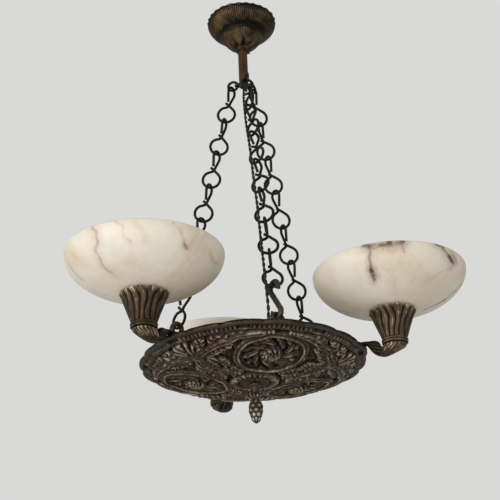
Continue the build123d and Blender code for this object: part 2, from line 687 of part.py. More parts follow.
def nipple():
    """The threaded tube from the arm through ring, cup and bowl to the lampholder."""
    return tube(NIPPLE_R, NIPPLE_BORE_R, ARM_FACE_Z - 6, HOLDER_FOOT_Z + 6)


HOLDER_TOP_Z = HOLDER_FOOT_Z + HOLDER_LENGTH
BULB_CONTACT_Z = HOLDER_FOOT_Z + 14


def lampholder():
    """A shell with a cap below, a threaded mouth above and a centre contact."""
    foot, top = HOLDER_FOOT_Z, HOLDER_TOP_Z
    mouth = BULB_THREAD_R + 0.3
    return turned([
        (NIPPLE_R, foot), (9, foot), (HOLDER_R, foot + 8), (HOLDER_R, foot + 18),
        (HOLDER_R - 1.2, foot + 19), (HOLDER_R - 1.2, top - 2), (HOLDER_R - 2.2, top),
        (mouth, top), (mouth, foot + 14), (2.5, foot + 14), (2.5, foot + 13.4), (0, foot + 13.4),
        (0, foot + 8), (NIPPLE_R, foot + 8)])


def bulb():
    """A small round lamp with a screw cap."""
    contact = BULB_CONTACT_Z + 0.3
    neck = HOLDER_TOP_Z - 1
    centre = HOLDER_TOP_Z + BULB_R + 4
    base = [(0, contact), (3.5, contact), (BULB_THREAD_R, contact + 3), (BULB_THREAD_R, neck)]
    start = radians(-68)
    stop = radians(90)
    turns = [start + (stop - start) * k / 7 for k in range(7)]
    globe = [(BULB_R * cos(a), centre + BULB_R * sin(a)) for a in turns]
    return turned(base + globe + [(0, centre + BULB_R)])


def at_arm(shape, azimuth):
    return around(Pos(BOWL_RADIUS, 0, 0) * shape, azimuth)


# ---- flex ---------------------------------------------------------------------------
BLOCK_CENTRE = (0.0, -62.0)
BLOCK_SIZE = (34.0, 16.0, 15.0)
BLOCK_LOW_Z = -697.2
# down beside the front chain, from under the hanger to the terminal block's front face
FLEX_ROUTE = (
    (0, 0, STEM_BOTTOM_Z - 1.0), (-0.5, -2, -176), (-7.5, -23, -199), (-10, -41, -261),
    (-8.5, -57.5, -324), (-10.5, -76, -386), (-10, -92.5, -449), (-13, -112.5, -512),
    (-14.5, -130.5, -574), (-15, -141, -620), (-13, -140, -650), (-10, -118, -672),
    (-3, -96, -686.5), (-3, -70, -686.5),
)


def terminal_block():
    """The block that joins the lamps' wires to the flex, laid on a roundel's back."""
    x, y = BLOCK_CENTRE
    return Pos(x, y, BLOCK_LOW_Z + BLOCK_SIZE[2] / 2) * Box(*BLOCK_SIZE)


def flex():
    """The twisted supply flex along the front chain, as one round cord."""
    return cord(FLEX_ROUTE, FLEX_R)


def stem_flex():
    """The same flex inside the stem, up to a tail under the canopy."""
    return rod(FLEX_R, STEM_BOTTOM_Z, STEM_TOP_Z - 14)


# ---- write every piece --------------------------------------------------------------
def main():
    save(hanging_clevis(), "hanging_clevis")
    save(clevis_pin(), "clevis_pin")
    save(stem_head(), "stem_head")
    save(stem_tube(), "stem_tube")
    save(chain_hanger(), "chain_hanger")
    save(canopy(), "canopy")
    save(canopy_collar(), "canopy_collar")
    save(canopy_set_screw(), "canopy_set_screw")
    save_group(top_rings(), "top_rings")
    for name in CHAIN_AZIMUTHS:
        save_group(chain(name), f"{name}_chain")
        save(s_hook(name), f"{name}_s_hook")
        save(eye_bolt(name), f"{name}_eye_bolt")
    save(plate(), "plate")
    save(finial(), "finial")
    save(finial_rod(), "finial_rod")
    save(finial_nut(), "finial_nut")
    save_group(arm_screws(), "arm_screws")
    for name, azimuth in ARM_AZIMUTHS.items():
        save(around(arm(), azimuth), f"{name}_arm")
        for piece in (cup_ring, cup, cup_seat, nipple, bowl, lampholder, bulb):
            save(at_arm(piece(), azimuth), f"{name}_{piece.__name__}")
    for piece in (seat_washer, bowl_washer, bowl_nut):
        shapes = [at_arm(piece(), azimuth) for azimuth in ARM_AZIMUTHS.values()]
        save_group(shapes, f"{piece.__name__}s")
    save(terminal_block(), "terminal_block")
    save(flex(), "flex")
    save(stem_flex(), "stem_flex")


main()
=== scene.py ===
"""A three-arm pendant with alabaster bowls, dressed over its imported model.

Metres, +Z up, the origin in the hanging eye. Shapes are worked out in millimetres, as whole
numpy arrays, and are turned into metres when they become meshes.
"""
import json

import bmesh
import bpy
import numpy as np
from mathutils import Matrix
from numpy import (
    array, cos, hypot, linspace, maximum, pi, radians, sin, stack, vstack, where)


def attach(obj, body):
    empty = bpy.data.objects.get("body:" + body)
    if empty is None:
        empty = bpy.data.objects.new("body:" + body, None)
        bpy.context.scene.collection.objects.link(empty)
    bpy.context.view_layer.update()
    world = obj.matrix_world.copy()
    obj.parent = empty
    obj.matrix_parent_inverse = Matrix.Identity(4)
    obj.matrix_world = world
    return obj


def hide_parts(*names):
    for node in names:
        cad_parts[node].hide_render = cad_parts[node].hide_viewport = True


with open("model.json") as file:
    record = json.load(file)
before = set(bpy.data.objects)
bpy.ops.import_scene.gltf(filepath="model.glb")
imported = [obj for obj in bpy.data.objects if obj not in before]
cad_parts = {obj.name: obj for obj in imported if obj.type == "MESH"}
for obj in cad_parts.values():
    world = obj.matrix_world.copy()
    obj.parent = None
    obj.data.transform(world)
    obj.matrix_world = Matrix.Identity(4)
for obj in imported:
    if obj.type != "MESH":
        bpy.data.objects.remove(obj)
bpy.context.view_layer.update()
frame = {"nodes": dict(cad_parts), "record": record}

MM, TAU = 0.001, 2 * pi

# heights and places shared by the pieces, in millimetres
STEM_TOP_Z, STEM_BOTTOM_Z, SWING_Z = -44, -163, -156.5
CANOPY_RIM_Z, CANOPY_DEPTH, CANOPY_RIM_R = -24, 56.5, 62.4
RIM_Z = -678
PLATE_R, PLATE_DEPTH, PLATE_WALL = 180, 30, 4
LUG_AT, LUG_R, LUG_HOLE_R, LUG_HALF = 11.2, 5.5, 3.4, 1.5
CHAINS = {"front": 270, "right": 30, "left": 150}
ARMS = {"right": 330, "back": 90, "left": 210}
BOWL_RADIUS = 223.9
BEVEL = 0.12  # of a bar's radius, at its ends


# ---- camera
def add_object(name, data):
    thing = bpy.data.objects.new(name, data)
    bpy.context.scene.collection.objects.link(thing)
    return thing


def place_in_scene(name, data, place, right, up):
    """An object with its x and y axes along right and up, so that it looks along -z."""
    thing = add_object(name, data)
    rows = np.eye(4)
    rows[:3] = np.c_[right, up, np.cross(right, up), place]
    thing.matrix_world = Matrix(rows.tolist())
    return thing


def set_camera():
    """A camera below and left of the front, that looks up at the dish."""
    bearing, pitch, roll = radians((15.3, 25.507, -2.148))
    forward = array([cos(pitch) * sin(bearing), cos(pitch) * cos(bearing), sin(pitch)])
    level = array([cos(bearing), -sin(bearing), 0])
    upright = np.cross(level, forward)
    right = cos(roll) * level + sin(roll) * upright
    up = cos(roll) * upright - sin(roll) * level
    lens = bpy.data.cameras.new("camera")
    lens.lens, lens.sensor_width = 82.1, 36
    bpy.context.scene.camera = place_in_scene(
        "camera", lens, (-0.447, -1.634, -1.2893), right, up)


set_camera()


# ---- surfaces worked out on grids
def grid_faces(rows, cols, wrap_rows=False):
    """Four-sided faces of a grid of points, numbered row by row, whose rows are closed."""
    i, j = np.mgrid[:rows if wrap_rows else rows - 1, :cols]
    below, beside = (i + 1) % rows, (j + 1) % cols
    corners = [i * cols + j, below * cols + j, below * cols + beside, i * cols + beside]
    return stack(corners, axis=-1).reshape(-1, 4)


def curve_through(points, steps):
    """A smooth curve through points: between two of them, a cubic blend of the nearest four."""
    p = array(points, float)
    p = vstack([2 * p[0] - p[1], p, 2 * p[-1] - p[-2]])
    t = np.arange(steps) / steps
    weights = 0.5 * stack([
        -t + 2 * t**2 - t**3, 2 - 5 * t**2 + 3 * t**3, t + 4 * t**2 - 3 * t**3, t**3 - t**2])
    spans = stack([p[:-3], p[1:-2], p[2:-1], p[3:]])
    curve = np.einsum("ws,wnd->nsd", weights, spans).reshape(-1, p.shape[1])
    return vstack([curve, p[-2]])


def soften(profile, cuts=2, closed=False):
    """Corner cutting: each corner of a profile gives way to points a quarter along its sides."""
    p = array(profile, float)
    for _ in range(cuts):
        after = np.roll(p, -1, axis=0)
        pair = stack([0.75 * p + 0.25 * after, 0.25 * p + 0.75 * after], axis=1)
        p = pair.reshape(-1, 2) if closed else vstack([p[:1], pair[:-1].reshape(-1, 2), p[-1:]])
    return p


def unit(vectors):
    return vectors / np.linalg.norm(vectors, axis=-1, keepdims=True)


def heading(degrees):
    return array([cos(radians(degrees)), sin(radians(degrees)), 0])


def clamp(x):
    return np.clip(x, 0, 1)


def bell(x, width):
    return np.exp(-(x / width) ** 2)


def hump(x):
    """A wave between 0 and 1."""
    return 0.5 + 0.5 * cos(x)


def pipe(path, radius, sides=12, reference=(0, 1, 0), closed=False):
    """A bar: P(i, a) = path(i) + r (cos a * side(i) + sin a * other(i)), where side is the
    reference direction made square to the path. r is a number or an array per point and turn.
    The ends have a narrow bevel."""
    path = array(path, float)
    radius = np.broadcast_to(radius, (len(path), sides))
    if closed:
        along = unit(np.roll(path, -1, axis=0) - np.roll(path, 1, axis=0))
    else:
        along = unit(np.gradient(path, axis=0))
        first, last = BEVEL * radius[0].mean(), BEVEL * radius[-1].mean()
        path[0] += along[0] * first
        path[-1] -= along[-1] * last
        head, tail = path[0] - along[0] * first, path[-1] + along[-1] * last
        path = vstack([head, head, path, tail, tail])
        share = array([[0], [0.86]])
        radius = vstack([share * radius[0], radius, share[::-1] * radius[-1]])
        along = vstack([along[:1], along[:1], along, along[-1:], along[-1:]])
    side = unit(reference - along * (along @ reference)[:, None])
    other = np.cross(along, side)
    turn = turns_of(sides)
    spokes = cos(turn)[:, None] * side[:, None] + sin(turn)[:, None] * other[:, None]
    points = path[:, None] + radius[..., None] * spokes
    return points.reshape(-1, 3), grid_faces(len(path), sides, wrap_rows=closed)


def turns_of(count):
    """The angles of so many even steps round a circle."""
    return np.arange(count) * TAU / count


def round_axis(r, a, z):
    """Points (r cos a, r sin a, z), row by row."""
    return stack([r * cos(a), r * sin(a), z], axis=-1).reshape(-1, 3)


def on_grid(profile, turns):
    """Radius, height and angle at each point of a profile that is turned in steps."""
    a = np.broadcast_to(turns_of(turns), (len(profile), turns))
    return np.repeat(profile[:, :1], turns, 1), np.repeat(profile[:, 1:], turns, 1), a


def turned(profile, turns=96, closed=False, ripple=None):
    """A turned surface P(u, a) = (r cos a, r sin a, z), with (r, z) the profile at u. ripple
    gives what to add to r and z at each height and angle."""
    r, z, a = on_grid(array(profile, float), turns)
    if ripple:
        dr, dz = ripple(r, z, a)
        r, z = r + dr, z + dz
    return round_axis(r, a, z), grid_faces(len(profile), turns, wrap_rows=closed)


def moved(part, offset=(0, 0, 0), azimuth=0):
    """A part shifted, then turned about the vertical axis."""
    points, faces = part
    a = radians(azimuth)
    turn = array([[cos(a), -sin(a), 0], [sin(a), cos(a), 0], [0, 0, 1]])
    return (points + offset) @ turn.T, faces


def add_piece(name, parts, slot, nodes, raised=(), body="pendant", material=None):
    """One mesh of closed parts, its seams merged and its faces turned outward. `raised` says
    for each point how far it stands out, from 0 to 1, for the wear of the finish."""
    starts = np.cumsum([0] + [len(points) for points, _ in parts[:-1]])
    points = vstack([points for points, _ in parts]) * MM
    faces = vstack([faces + start for (_, faces), start in zip(parts, starts)])
    mesh = bpy.data.meshes.new(name)
    mesh.from_pydata(points.tolist(), [], faces.tolist())
    level = np.full(len(points), 0.5, np.float32)
    level[:len(raised)] = raised
    mesh.attributes.new("raised", "FLOAT", "POINT").data.foreach_set("value", level)
    work = bmesh.new()
    work.from_mesh(mesh)
    bmesh.ops.remove_doubles(work, verts=work.verts, dist=1e-6)
    bmesh.ops.recalc_face_normals(work, faces=work.faces)
    work.to_mesh(mesh)
    work.free()
    mesh.shade_smooth()
    mesh.materials.append(material or FINISH[slot])
    piece = add_object(name, mesh)
    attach(piece, body)
    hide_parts(*nodes)
    return piece


def add_on_arms(label, node, part, slot, raised=()):
    """A piece for each arm, with the part at the arm's end."""
    for name, azimuth in ARMS.items():
        add_piece(f"{name}_{label}", [moved(part, (BOWL_RADIUS, 0, 0), azimuth)], slot,
                  [f"{name}_{node}"], raised, f"{name}_bulb" if node == "bulb" else "pendant",
                  ALABASTER[name] if node == "bowl" else None)


# ---- shader helpers
def rgb(code):
    """A linear colour from a hexadecimal sRGB code."""
    s = array([int(code[k:k + 2], 16) for k in (0, 2, 4)]) / 255
    linear = where(s <= 0.04045, s / 12.92, ((s + 0.055) / 1.055) ** 2.4)
    return (*linear.tolist(), 1)


class Nodes:
    """Short calls that add nodes to a tree. An input is a socket, a value or a colour code."""

    def __init__(self, tree):
        self.tree, self.place = tree, None

    def fill(self, sockets, values):
        for key, value in dict(values).items():
            if isinstance(value, bpy.types.NodeSocket):
                self.tree.links.new(value, sockets[key])
            else:
                sockets[key].default_value = rgb(value) if isinstance(value, str) else value

    def add(self, kind, inputs=(), output=0, **settings):
        node = self.tree.nodes.new("ShaderNode" + kind)
        for key, value in settings.items():
            setattr(node, key, value)
        self.fill(node.inputs, inputs)
        return node.outputs[output]

    def math(self, operation, *values, clamp=False):
        return self.add("Math", enumerate(values), operation=operation, use_clamp=clamp)

    def vector(self, operation, *values, output=0):
        return self.add("VectorMath", enumerate(values), output, operation=operation)

    def noise(self, scale, detail=4, rough=0.55, distortion=0, output=0):
        """Noise over the object's own coordinates."""
        self.place = self.place or self.add("TexCoord", output=3)
        return self.add("TexNoise", {
            "Vector": self.place, "Scale": scale, "Detail": detail, "Roughness": rough,
            "Distortion": distortion}, output)

    def ramp(self, value, low, high, to_low=0, to_high=1):
        """A smooth step from to_low to to_high while the value goes from low to high."""
        return self.add("MapRange", enumerate((value, low, high, to_low, to_high)),
                        interpolation_type="SMOOTHSTEP")

    def mix(self, share, a, b):
        return self.add("Mix", {0: share, 6: a, 7: b}, 2, data_type="RGBA")

    def bump(self, strength, distance, height):
        return self.add("Bump", {"Strength": strength, "Distance": distance, "Height": height})

    def group(self, tree, inputs):
        return self.add("Group", inputs, node_tree=tree).node.outputs


def new_group(name, inputs, outputs):
    """A shader group, with the names of its sockets given for each kind."""
    tree = bpy.data.node_groups.new(name, "ShaderNodeTree")
    for side, sockets in (("INPUT", inputs), ("OUTPUT", outputs)):
        for kind, labels in sockets.items():
            for label in labels.split():
                tree.interface.new_socket(label, in_out=side, socket_type="NodeSocket" + kind)
    given, out = (tree.nodes.new("NodeGroup" + side) for side in ("Input", "Output"))
    return tree, Nodes(tree), given.outputs, out.inputs


def new_material(name):
    material = bpy.data.materials.new(name)
    material.use_nodes = True
    tree = material.node_tree
    return material, Nodes(tree), tree.nodes["Principled BSDF"].inputs


# ---- finishes
def patina_group():
    """Old cast bronze: dark hollows, a brown field that drifts in tone, paler where rubbed,
    with fine pitting."""
    tree, n, given, out = new_group(
        "patina", {"Color": "Hollow Field Rubbed Tint", "Float": "Grain Wear"},
        {"Color": "Color", "Float": "Roughness Height"})
    raised = n.add("Attribute", output=2, attribute_name="raised")
    drift = n.noise(14, 3, 0.6)
    mottle = n.noise(75, 5, 0.65, 0.4)
    speck = n.noise(n.math("MULTIPLY", given["Grain"], 520), 3, 0.7)
    uneven = n.math("MULTIPLY_ADD", n.math("SUBTRACT", mottle, 0.5), 0.9, raised)
    hollow = n.ramp(uneven, 0.16, 0.52)
    rubbed = n.ramp(n.math("ADD", uneven, given["Wear"]), 0.6, 0.98)
    field = n.mix(n.ramp(drift, 0.36, 0.66), given["Field"], given["Tint"])
    color = n.mix(hollow, given["Hollow"], field)
    color = n.mix(rubbed, color, given["Rubbed"])
    spots = n.math("MULTIPLY", n.ramp(speck, 0.6, 0.8), 0.45)
    rough = n.math("MULTIPLY_ADD", mottle, 0.34, 0.3)
    n.fill(out, {
        "Color": n.mix(spots, color, given["Hollow"]),
        "Roughness": n.math("MULTIPLY_ADD", rubbed, -0.1, rough, clamp=True),
        "Height": n.math("MULTIPLY_ADD", speck, 0.35, mottle)})
    return tree


PATINA = patina_group()


def bronze(name, colors, grain=1, wear=0, bump=0.35, metal=0.75):
    """A patinated bronze: the colours of its hollows, field, rubbed places and tint."""
    material, n, shader = new_material(name)
    made = n.group(PATINA, enumerate([*colors.split(), grain, wear]))
    n.fill(shader, {
        "Base Color": made["Color"], "Roughness": made["Roughness"], "Metallic": metal,
        "Specular IOR Level": 0.22, "Normal": n.bump(bump, 0.0006, made["Height"])})
    return material


def vein_group():
    """How much of a vein lies at a place: 1 on the line from Start to End, 0 beyond Width."""
    tree, n, given, out = new_group(
        "vein", {"Vector": "Place Start End", "Float": "Width"}, {"Float": "Mask"})
    reach = n.vector("SUBTRACT", given["Place"], given["Start"])
    line = n.vector("SUBTRACT", given["End"], given["Start"])
    ahead = n.vector("DOT_PRODUCT", reach, line, output=1)
    length = n.vector("DOT_PRODUCT", line, line, output=1)
    share = n.math("DIVIDE", ahead, length, clamp=True)
    nearest = n.add("VectorMath", {0: line, "Scale": share}, operation="SCALE")
    gap = n.vector("LENGTH", n.vector("SUBTRACT", reach, nearest), output=1)
    widths = n.math("DIVIDE", gap, given["Width"])
    core, halo = n.ramp(widths, 0.2, 1.1, 1, 0), n.ramp(widths, 0, 3.4, 0.34, 0)
    n.fill(out, {"Mask": n.math("MAXIMUM", core, halo)})
    return tree


VEIN = vein_group()
BOWL_RIM_Z = RIM_Z + 120.6
BOWL_R, BOWL_DEPTH, BOWL_WALL = 119.9, 66, 8


def on_bowl(azimuth, around, drop):
    """A point of a bowl's outer face in metres, `around` degrees about its own axis."""
    share = clamp((drop - 3) / (BOWL_DEPTH - 3))
    r = BOWL_R * np.sqrt(1 - share**2)
    place = BOWL_RADIUS * heading(azimuth) + r * heading(around)
    return tuple((place + (0, 0, BOWL_RIM_Z - drop)) * MM)


def alabaster(name, azimuth, veins):
    """Cream alabaster: soft clouds, fine warm threads, and the bowl's own dark veins. A line of
    `veins` has the width in mm, the strength, the colour, and for each point the degrees round
    the bowl and the drop in mm below its rim."""
    material, n, shader = new_material(name)
    cloud = n.noise(9, 4, 0.55, 0.8)
    wisp = n.noise(26, 6, 0.62, 1.6)
    grain = n.noise(240, 3, 0.6)
    color = n.mix(n.ramp(cloud, 0.35, 0.68), "ebe0d3", "dfcfbc")
    color = n.mix(n.math("MULTIPLY", n.ramp(wisp, 0.52, 0.72), 0.5), color, "efe6da")
    thread = n.math("ABSOLUTE", n.math("SUBTRACT", wisp, 0.5))
    warm = n.math("MULTIPLY", n.ramp(thread, 0, 0.018, 0.22, 0), n.ramp(cloud, 0.48, 0.62))
    color = n.mix(warm, color, "b39a80")
    shake = n.vector("SUBTRACT", n.noise(30, 6, 0.68, output=1), (0.5, 0.5, 0.5))
    warped = n.vector("MULTIPLY_ADD", shake, (0.016, 0.016, 0.016), n.place)
    patchy = n.ramp(n.noise(55, 4, 0.6), 0.3, 0.58, 0.35, 1)
    for vein in veins.strip().split("\n"):
        width, strength, shade, *points = vein.split()
        ends = [on_bowl(azimuth, *p) for p in np.reshape(points, (-1, 2)).astype(float)]
        mask = None
        for start, end in zip(ends, ends[1:]):
            part = n.group(VEIN, {"Place": warped, "Start": start, "End": end,
                                  "Width": float(width) * MM})["Mask"]
            mask = part if mask is None else n.math("MAXIMUM", mask, part)
        mask = n.math("MULTIPLY", n.math("MULTIPLY", mask, patchy), float(strength))
        color = n.mix(mask, color, shade)
    n.fill(shader, {
        "Base Color": color, "Roughness": n.ramp(grain, 0.3, 0.7, 0.44, 0.56),
        "Normal": n.bump(0.1, 0.0004, grain), "Subsurface Weight": 0.55,
        "Subsurface Radius": (0.03, 0.022, 0.014), "Subsurface Scale": 1})
    return material


def plain_finish(name, dark, light, scale, rough, bump=0.2, metal=0):
    """A plain material whose tone and roughness drift with one noise, with a fine bump."""
    material, n, shader = new_material(name)
    drift = n.noise(scale, 5, 0.6)
    fine = n.noise(scale * 9, 3, 0.6)
    n.fill(shader, {
        "Base Color": n.mix(n.ramp(drift, 0.3, 0.7), dark, light), "Metallic": metal,
        "Roughness": n.ramp(fine, 0.3, 0.7, rough - 0.06, rough + 0.08),
        "Normal": n.bump(bump, 0.0003, fine)})
    return material


FINISH = {
    "bronze_stem": bronze("stem_bronze", "20150d 5a422e 8d7a5a 463423", metal=0.5),
    "bronze_canopy": bronze("canopy_bronze", "1a120b 69573c c0b08e 574327", metal=0.55),
    "bronze_hooks": bronze("hook_bronze", "1d1812 5a5244 8b8270 453c30", 1.4, 0.05),
    "bronze_plate": bronze("plate_bronze", "080705 4a4338 b4a892 4a3426", metal=0.5),
    "bronze_arms": bronze("arm_bronze", "0e0a06 5a4c37 cbbd9e 433322", 1.1, metal=0.5),
    "black_iron": bronze("blackened_wire", "0b0b0b 1c1c1a 3b3a36 252320", 2, 0, 0.5, 0.35),
    "brass_fixings": plain_finish("dull_brass", "6b5430", "8e7444", 60, 0.42, metal=1),
    "felt_washers": plain_finish("felt", "3a3630", "4c463c", 400, 0.9, 0.6),
    "holder_black": plain_finish("black_phenolic", "0c0c0c", "161514", 90, 0.38),
    "bulb_glass": plain_finish("frosted_glass", "e9e6dd", "f3f1ea", 40, 0.34, 0.05),
    "flex_black": plain_finish("black_flex", "101010", "1d1c1a", 700, 0.62, 0.5),
    "terminal_plastic": plain_finish("pale_plastic", "b9b2a2", "c8c2b4", 80, 0.45),
}
VEINS = {
    "left": """
    4 0.55 8d7c6c  222 2  226 12  225 26  220 33  218 46  220 58
    2.6 0.4 9c8464  240 2  246 10  246 26  250 34
    9 0.3 c2a47c  255 6  258 16  262 30
    5 0.45 a9875c  280 5  287 17  293 31
    2.2 0.7 6f5740  291 27  294 31
    3.4 0.35 b5946a  293 30  297 19
    3 0.5 b08f66  317 24  326 29  338 28
    4.5 0.45 8f8490  183 20  178 32  174 44
    3.5 0.4 8f8490  160 50  150 57
    8 0.26 c8ab82  197 24  200 40
    5 0.3 b99a72  120 20  100 40
    4 0.35 9a8468  40 15  52 34""",
    "right": """
    6.5 0.85 5f5145  231 2  240 8  249 8  259 4
    6.5 0.95 3a302a  249 3  258 3
    4.6 0.8 5a4a3d  235 6  236 14  235 26  232 38  233 49
    4 0.95 3c3128  233 36  234 42
    2.4 0.55 857461  258 6  260 20  257 31
    5 0.95 43372c  285 1  291 3  296 12  305 21
    3 0.45 7d6c55  296 2  309 18
    6 0.26 8f8577  287 48  292 44  297 36  305 26
    3.2 0.9 4c3c2c  339 28  338 36  345 49  358 59
    3 0.5 8a7458  140 46  150 58
    4 0.26 b39b7a  253 50  255 60
    4 0.5 6d5c4a  60 12  75 36""",
    "back": """
    4 0.5 8a7a66  281 2  287 9  292 24
    4 0.5 7c6b57  90 8  100 30
    5 0.3 b0926a  200 10  212 30""",
}
ALABASTER = {name: alabaster(f"{name}_alabaster", ARMS[name], VEINS[name]) for name in ARMS}
FINISH["alabaster"] = ALABASTER["left"]

for subpart in frame["record"]["subparts"]:
    node_mesh = frame["nodes"][subpart["node"]].data
    node_mesh.materials.clear()
    node_mesh.materials.append(FINISH[subpart["material_slot"]])


# ---- flex beside the front chain
FLEX_STRAND_R, FLEX_LAY = 1.32, 22
# the same route as the source's cord, in metres
FLEX_ROUTE = (
    (0, 0, -0.159), (-0.0005, -0.002, -0.176), (-0.0075, -0.023, -0.199),
    (-0.010, -0.041, -0.261), (-0.0085, -0.0575, -0.324), (-0.0105, -0.076, -0.386),
    (-0.010, -0.0925, -0.449), (-0.013, -0.1125, -0.512), (-0.0145, -0.1305, -0.574),
    (-0.015, -0.141, -0.620), (-0.013, -0.140, -0.650), (-0.010, -0.118, -0.672),
    (-0.003, -0.096, -0.6865), (-0.003, -0.070, -0.6865),
)


def route_points(route):
    """Points along the NURBS curve that has the route as its control points, in metres."""
    curve = bpy.data.curves.new("flex_route", "CURVE")
    curve.dimensions = "3D"
    curve.resolution_u = 16
    spline = curve.splines.new("NURBS")
    spline.points.add(len(route) - 1)
    for point, place in zip(spline.points, route):
        point.co = (*place, 1)
    spline.order_u = 3
    spline.use_endpoint_u = True
    guide = bpy.data.objects.new("flex_route", curve)
    line = bpy.data.meshes.new_from_object(guide)
    points = np.empty(len(line.vertices) * 3)
    line.vertices.foreach_get("co", points)
    bpy.data.objects.remove(guide)
    return points.reshape(-1, 3)


def twisted_flex():
    """Two strands that wind round the route's curve, one turn for each FLEX_LAY."""
    line = route_points(FLEX_ROUTE)
    gone = np.concatenate([[0], np.cumsum(np.linalg.norm(np.diff(line, axis=0), axis=1))])
    evenly = linspace(0, gone[-1], 420)
    path = stack([np.interp(evenly, gone, line[:, k]) for k in range(3)], axis=1) / MM
    along = unit(np.gradient(path, axis=0))
    side = unit(array([1, 0, 0]) - along * along[:, :1])
    other = np.cross(along, side)
    strands = []
    for start in (0, pi):
        turn = (start + TAU * evenly / MM / FLEX_LAY)[:, None]
        winding = path + (FLEX_STRAND_R - 0.06) * (cos(turn) * side + sin(turn) * other)
        strands.append(pipe(winding, FLEX_STRAND_R, 9, (1, 0, 0.2)))
    flex = add_piece("twisted_flex", strands, "flex_black", ["flex"])


# ---- chains
WIRE_R, TOP_RING_R, LINK_GAP, LINKS = 2.35, 8.7, 0.25, 7
EYE_R, EYE_SHOULDER, TEARDROP_TOP_R = 14.9, 35, 9.8
HOOK_WIRE_R, HOOK_BEND_R, HOOK_LENGTH = 4.5, 9.6, 66
HOOK_TOP_RADIUS, HOOK_TOP_ABOVE_RIM = 125.6, 83.2
EYE_BOLT_WIRE_R, EYE_BOLT_RING_R = 3.2, 10.4
EYE_FACINGS = {
    "front": (190, 203, 213, 226, 237, 254, 262),
    "right": (262, 250, 258, 266, 252, 262, 250),
    "left": (248, 262, 250, 256, 240, 225, 207),
}
TEARDROP_TURNS = {"front": -8, "right": 22, "left": -22}
HOOK_FACINGS = {"front": 290, "right": 250, "left": 207}
RING_CENTRE = LUG_AT + TOP_RING_R
CHAIN_RUN = HOOK_TOP_RADIUS - RING_CENTRE
CHAIN_DROP = SWING_Z - (RIM_Z + HOOK_TOP_ABOVE_RIM)
CHAIN_LENGTH = hypot(CHAIN_RUN, CHAIN_DROP)
CHAIN_LEAN = np.arctan2(CHAIN_RUN, CHAIN_DROP)
LINK_PITCH = (CHAIN_LENGTH + WIRE_R + HOOK_WIRE_R + LINK_GAP - TOP_RING_R) / LINKS
EYE_HEIGHT = EYE_R * (1 + 1 / cos(radians(EYE_SHOULDER)))
TEARDROP = LINK_PITCH + 2 * WIRE_R + LINK_GAP - EYE_HEIGHT
EYE_RING_DROP = (CHAIN_LENGTH + HOOK_LENGTH - HOOK_WIRE_R - EYE_BOLT_WIRE_R - LINK_GAP
                 + EYE_BOLT_RING_R)


def on_chain(azimuth, distance, facing):
    """The place of a piece on a chain and its axes: z up the chain, y toward `facing`."""
    out = heading(azimuth)
    up = -(out * sin(CHAIN_LEAN) + array([0, 0, -cos(CHAIN_LEAN)]))
    place = out * RING_CENTRE + array([0, 0, SWING_Z]) - up * distance
    toward = heading(facing)
    toward = unit(toward - up * (toward @ up))
    return place, stack([np.cross(toward, up), toward, up])


def hung(part, azimuth, distance, facing):
    place, axes = on_chain(azimuth, distance, facing)
    points, faces = part
    return points @ axes + place, faces


def arc(radius, start, stop, steps, centre=0, plane="xz"):
    """Points round part of a circle in an upright plane, angles from the level axis."""
    a = radians(linspace(start, stop, steps))
    level, z = radius * cos(a), centre + radius * sin(a)
    zero = np.zeros_like(a)
    return stack([level, zero, z] if plane == "xz" else [zero, level, z], axis=1)


def link(turn):
    """One length of wire with its waist at the origin: a cut end, the eye in the XZ plane, its
    straight shoulders, the teardrop in the YZ plane turned by `turn` degrees, a cut end."""
    eye = arc(EYE_R, 90 + EYE_SHOULDER, 450 - EYE_SHOULDER, 15, EYE_R - EYE_HEIGHT)
    drop = arc(TEARDROP_TOP_R, -22, 202, 9, TEARDROP - TEARDROP_TOP_R, "yz")
    drop = vstack([[(0, -3.1, 6)], drop * (1, -1, 1), [(0, 3.2, 6.4)]])
    a = radians(turn)
    drop = np.c_[-drop[:, 1] * sin(a), drop[:, 1] * cos(a), drop[:, 2]]
    path = vstack([[(5, 3.1, 3.2), (1, 2.9, 0.4), (-3.6, 1.9, -2.7)], eye,
                   [(3.6, -1.9, -2.7), (0.4, -2.9, 0.6)], drop])
    return pipe(curve_through(path, 6), WIRE_R, 10, (1, 1, 0))


def ring(radius, wire_r, steps=56, sides=14):
    """A closed round ring in the XZ plane."""
    return pipe(arc(radius, 0, 360, steps + 1)[:-1], wire_r, sides, (0, 1, 0), closed=True)


def s_hook():
    """A thick bar bent to an S in the YZ plane, its crown at the origin, its ends upset."""
    upper = arc(HOOK_BEND_R, -40, 195, 22, -HOOK_BEND_R, "yz")
    lower = arc(HOOK_BEND_R, 15, -225, 22, HOOK_BEND_R - HOOK_LENGTH, "yz")
    path = vstack([upper, curve_through([upper[-1], lower[0]], 8)[1:-1], lower])
    share = linspace(0, 1, len(path))
    swell = 0.35 * bell(share, 0.04) + 0.35 * bell(1 - share, 0.04)
    return pipe(path, (HOOK_WIRE_R + swell - 0.15)[:, None], 16, (1, 0, 0))


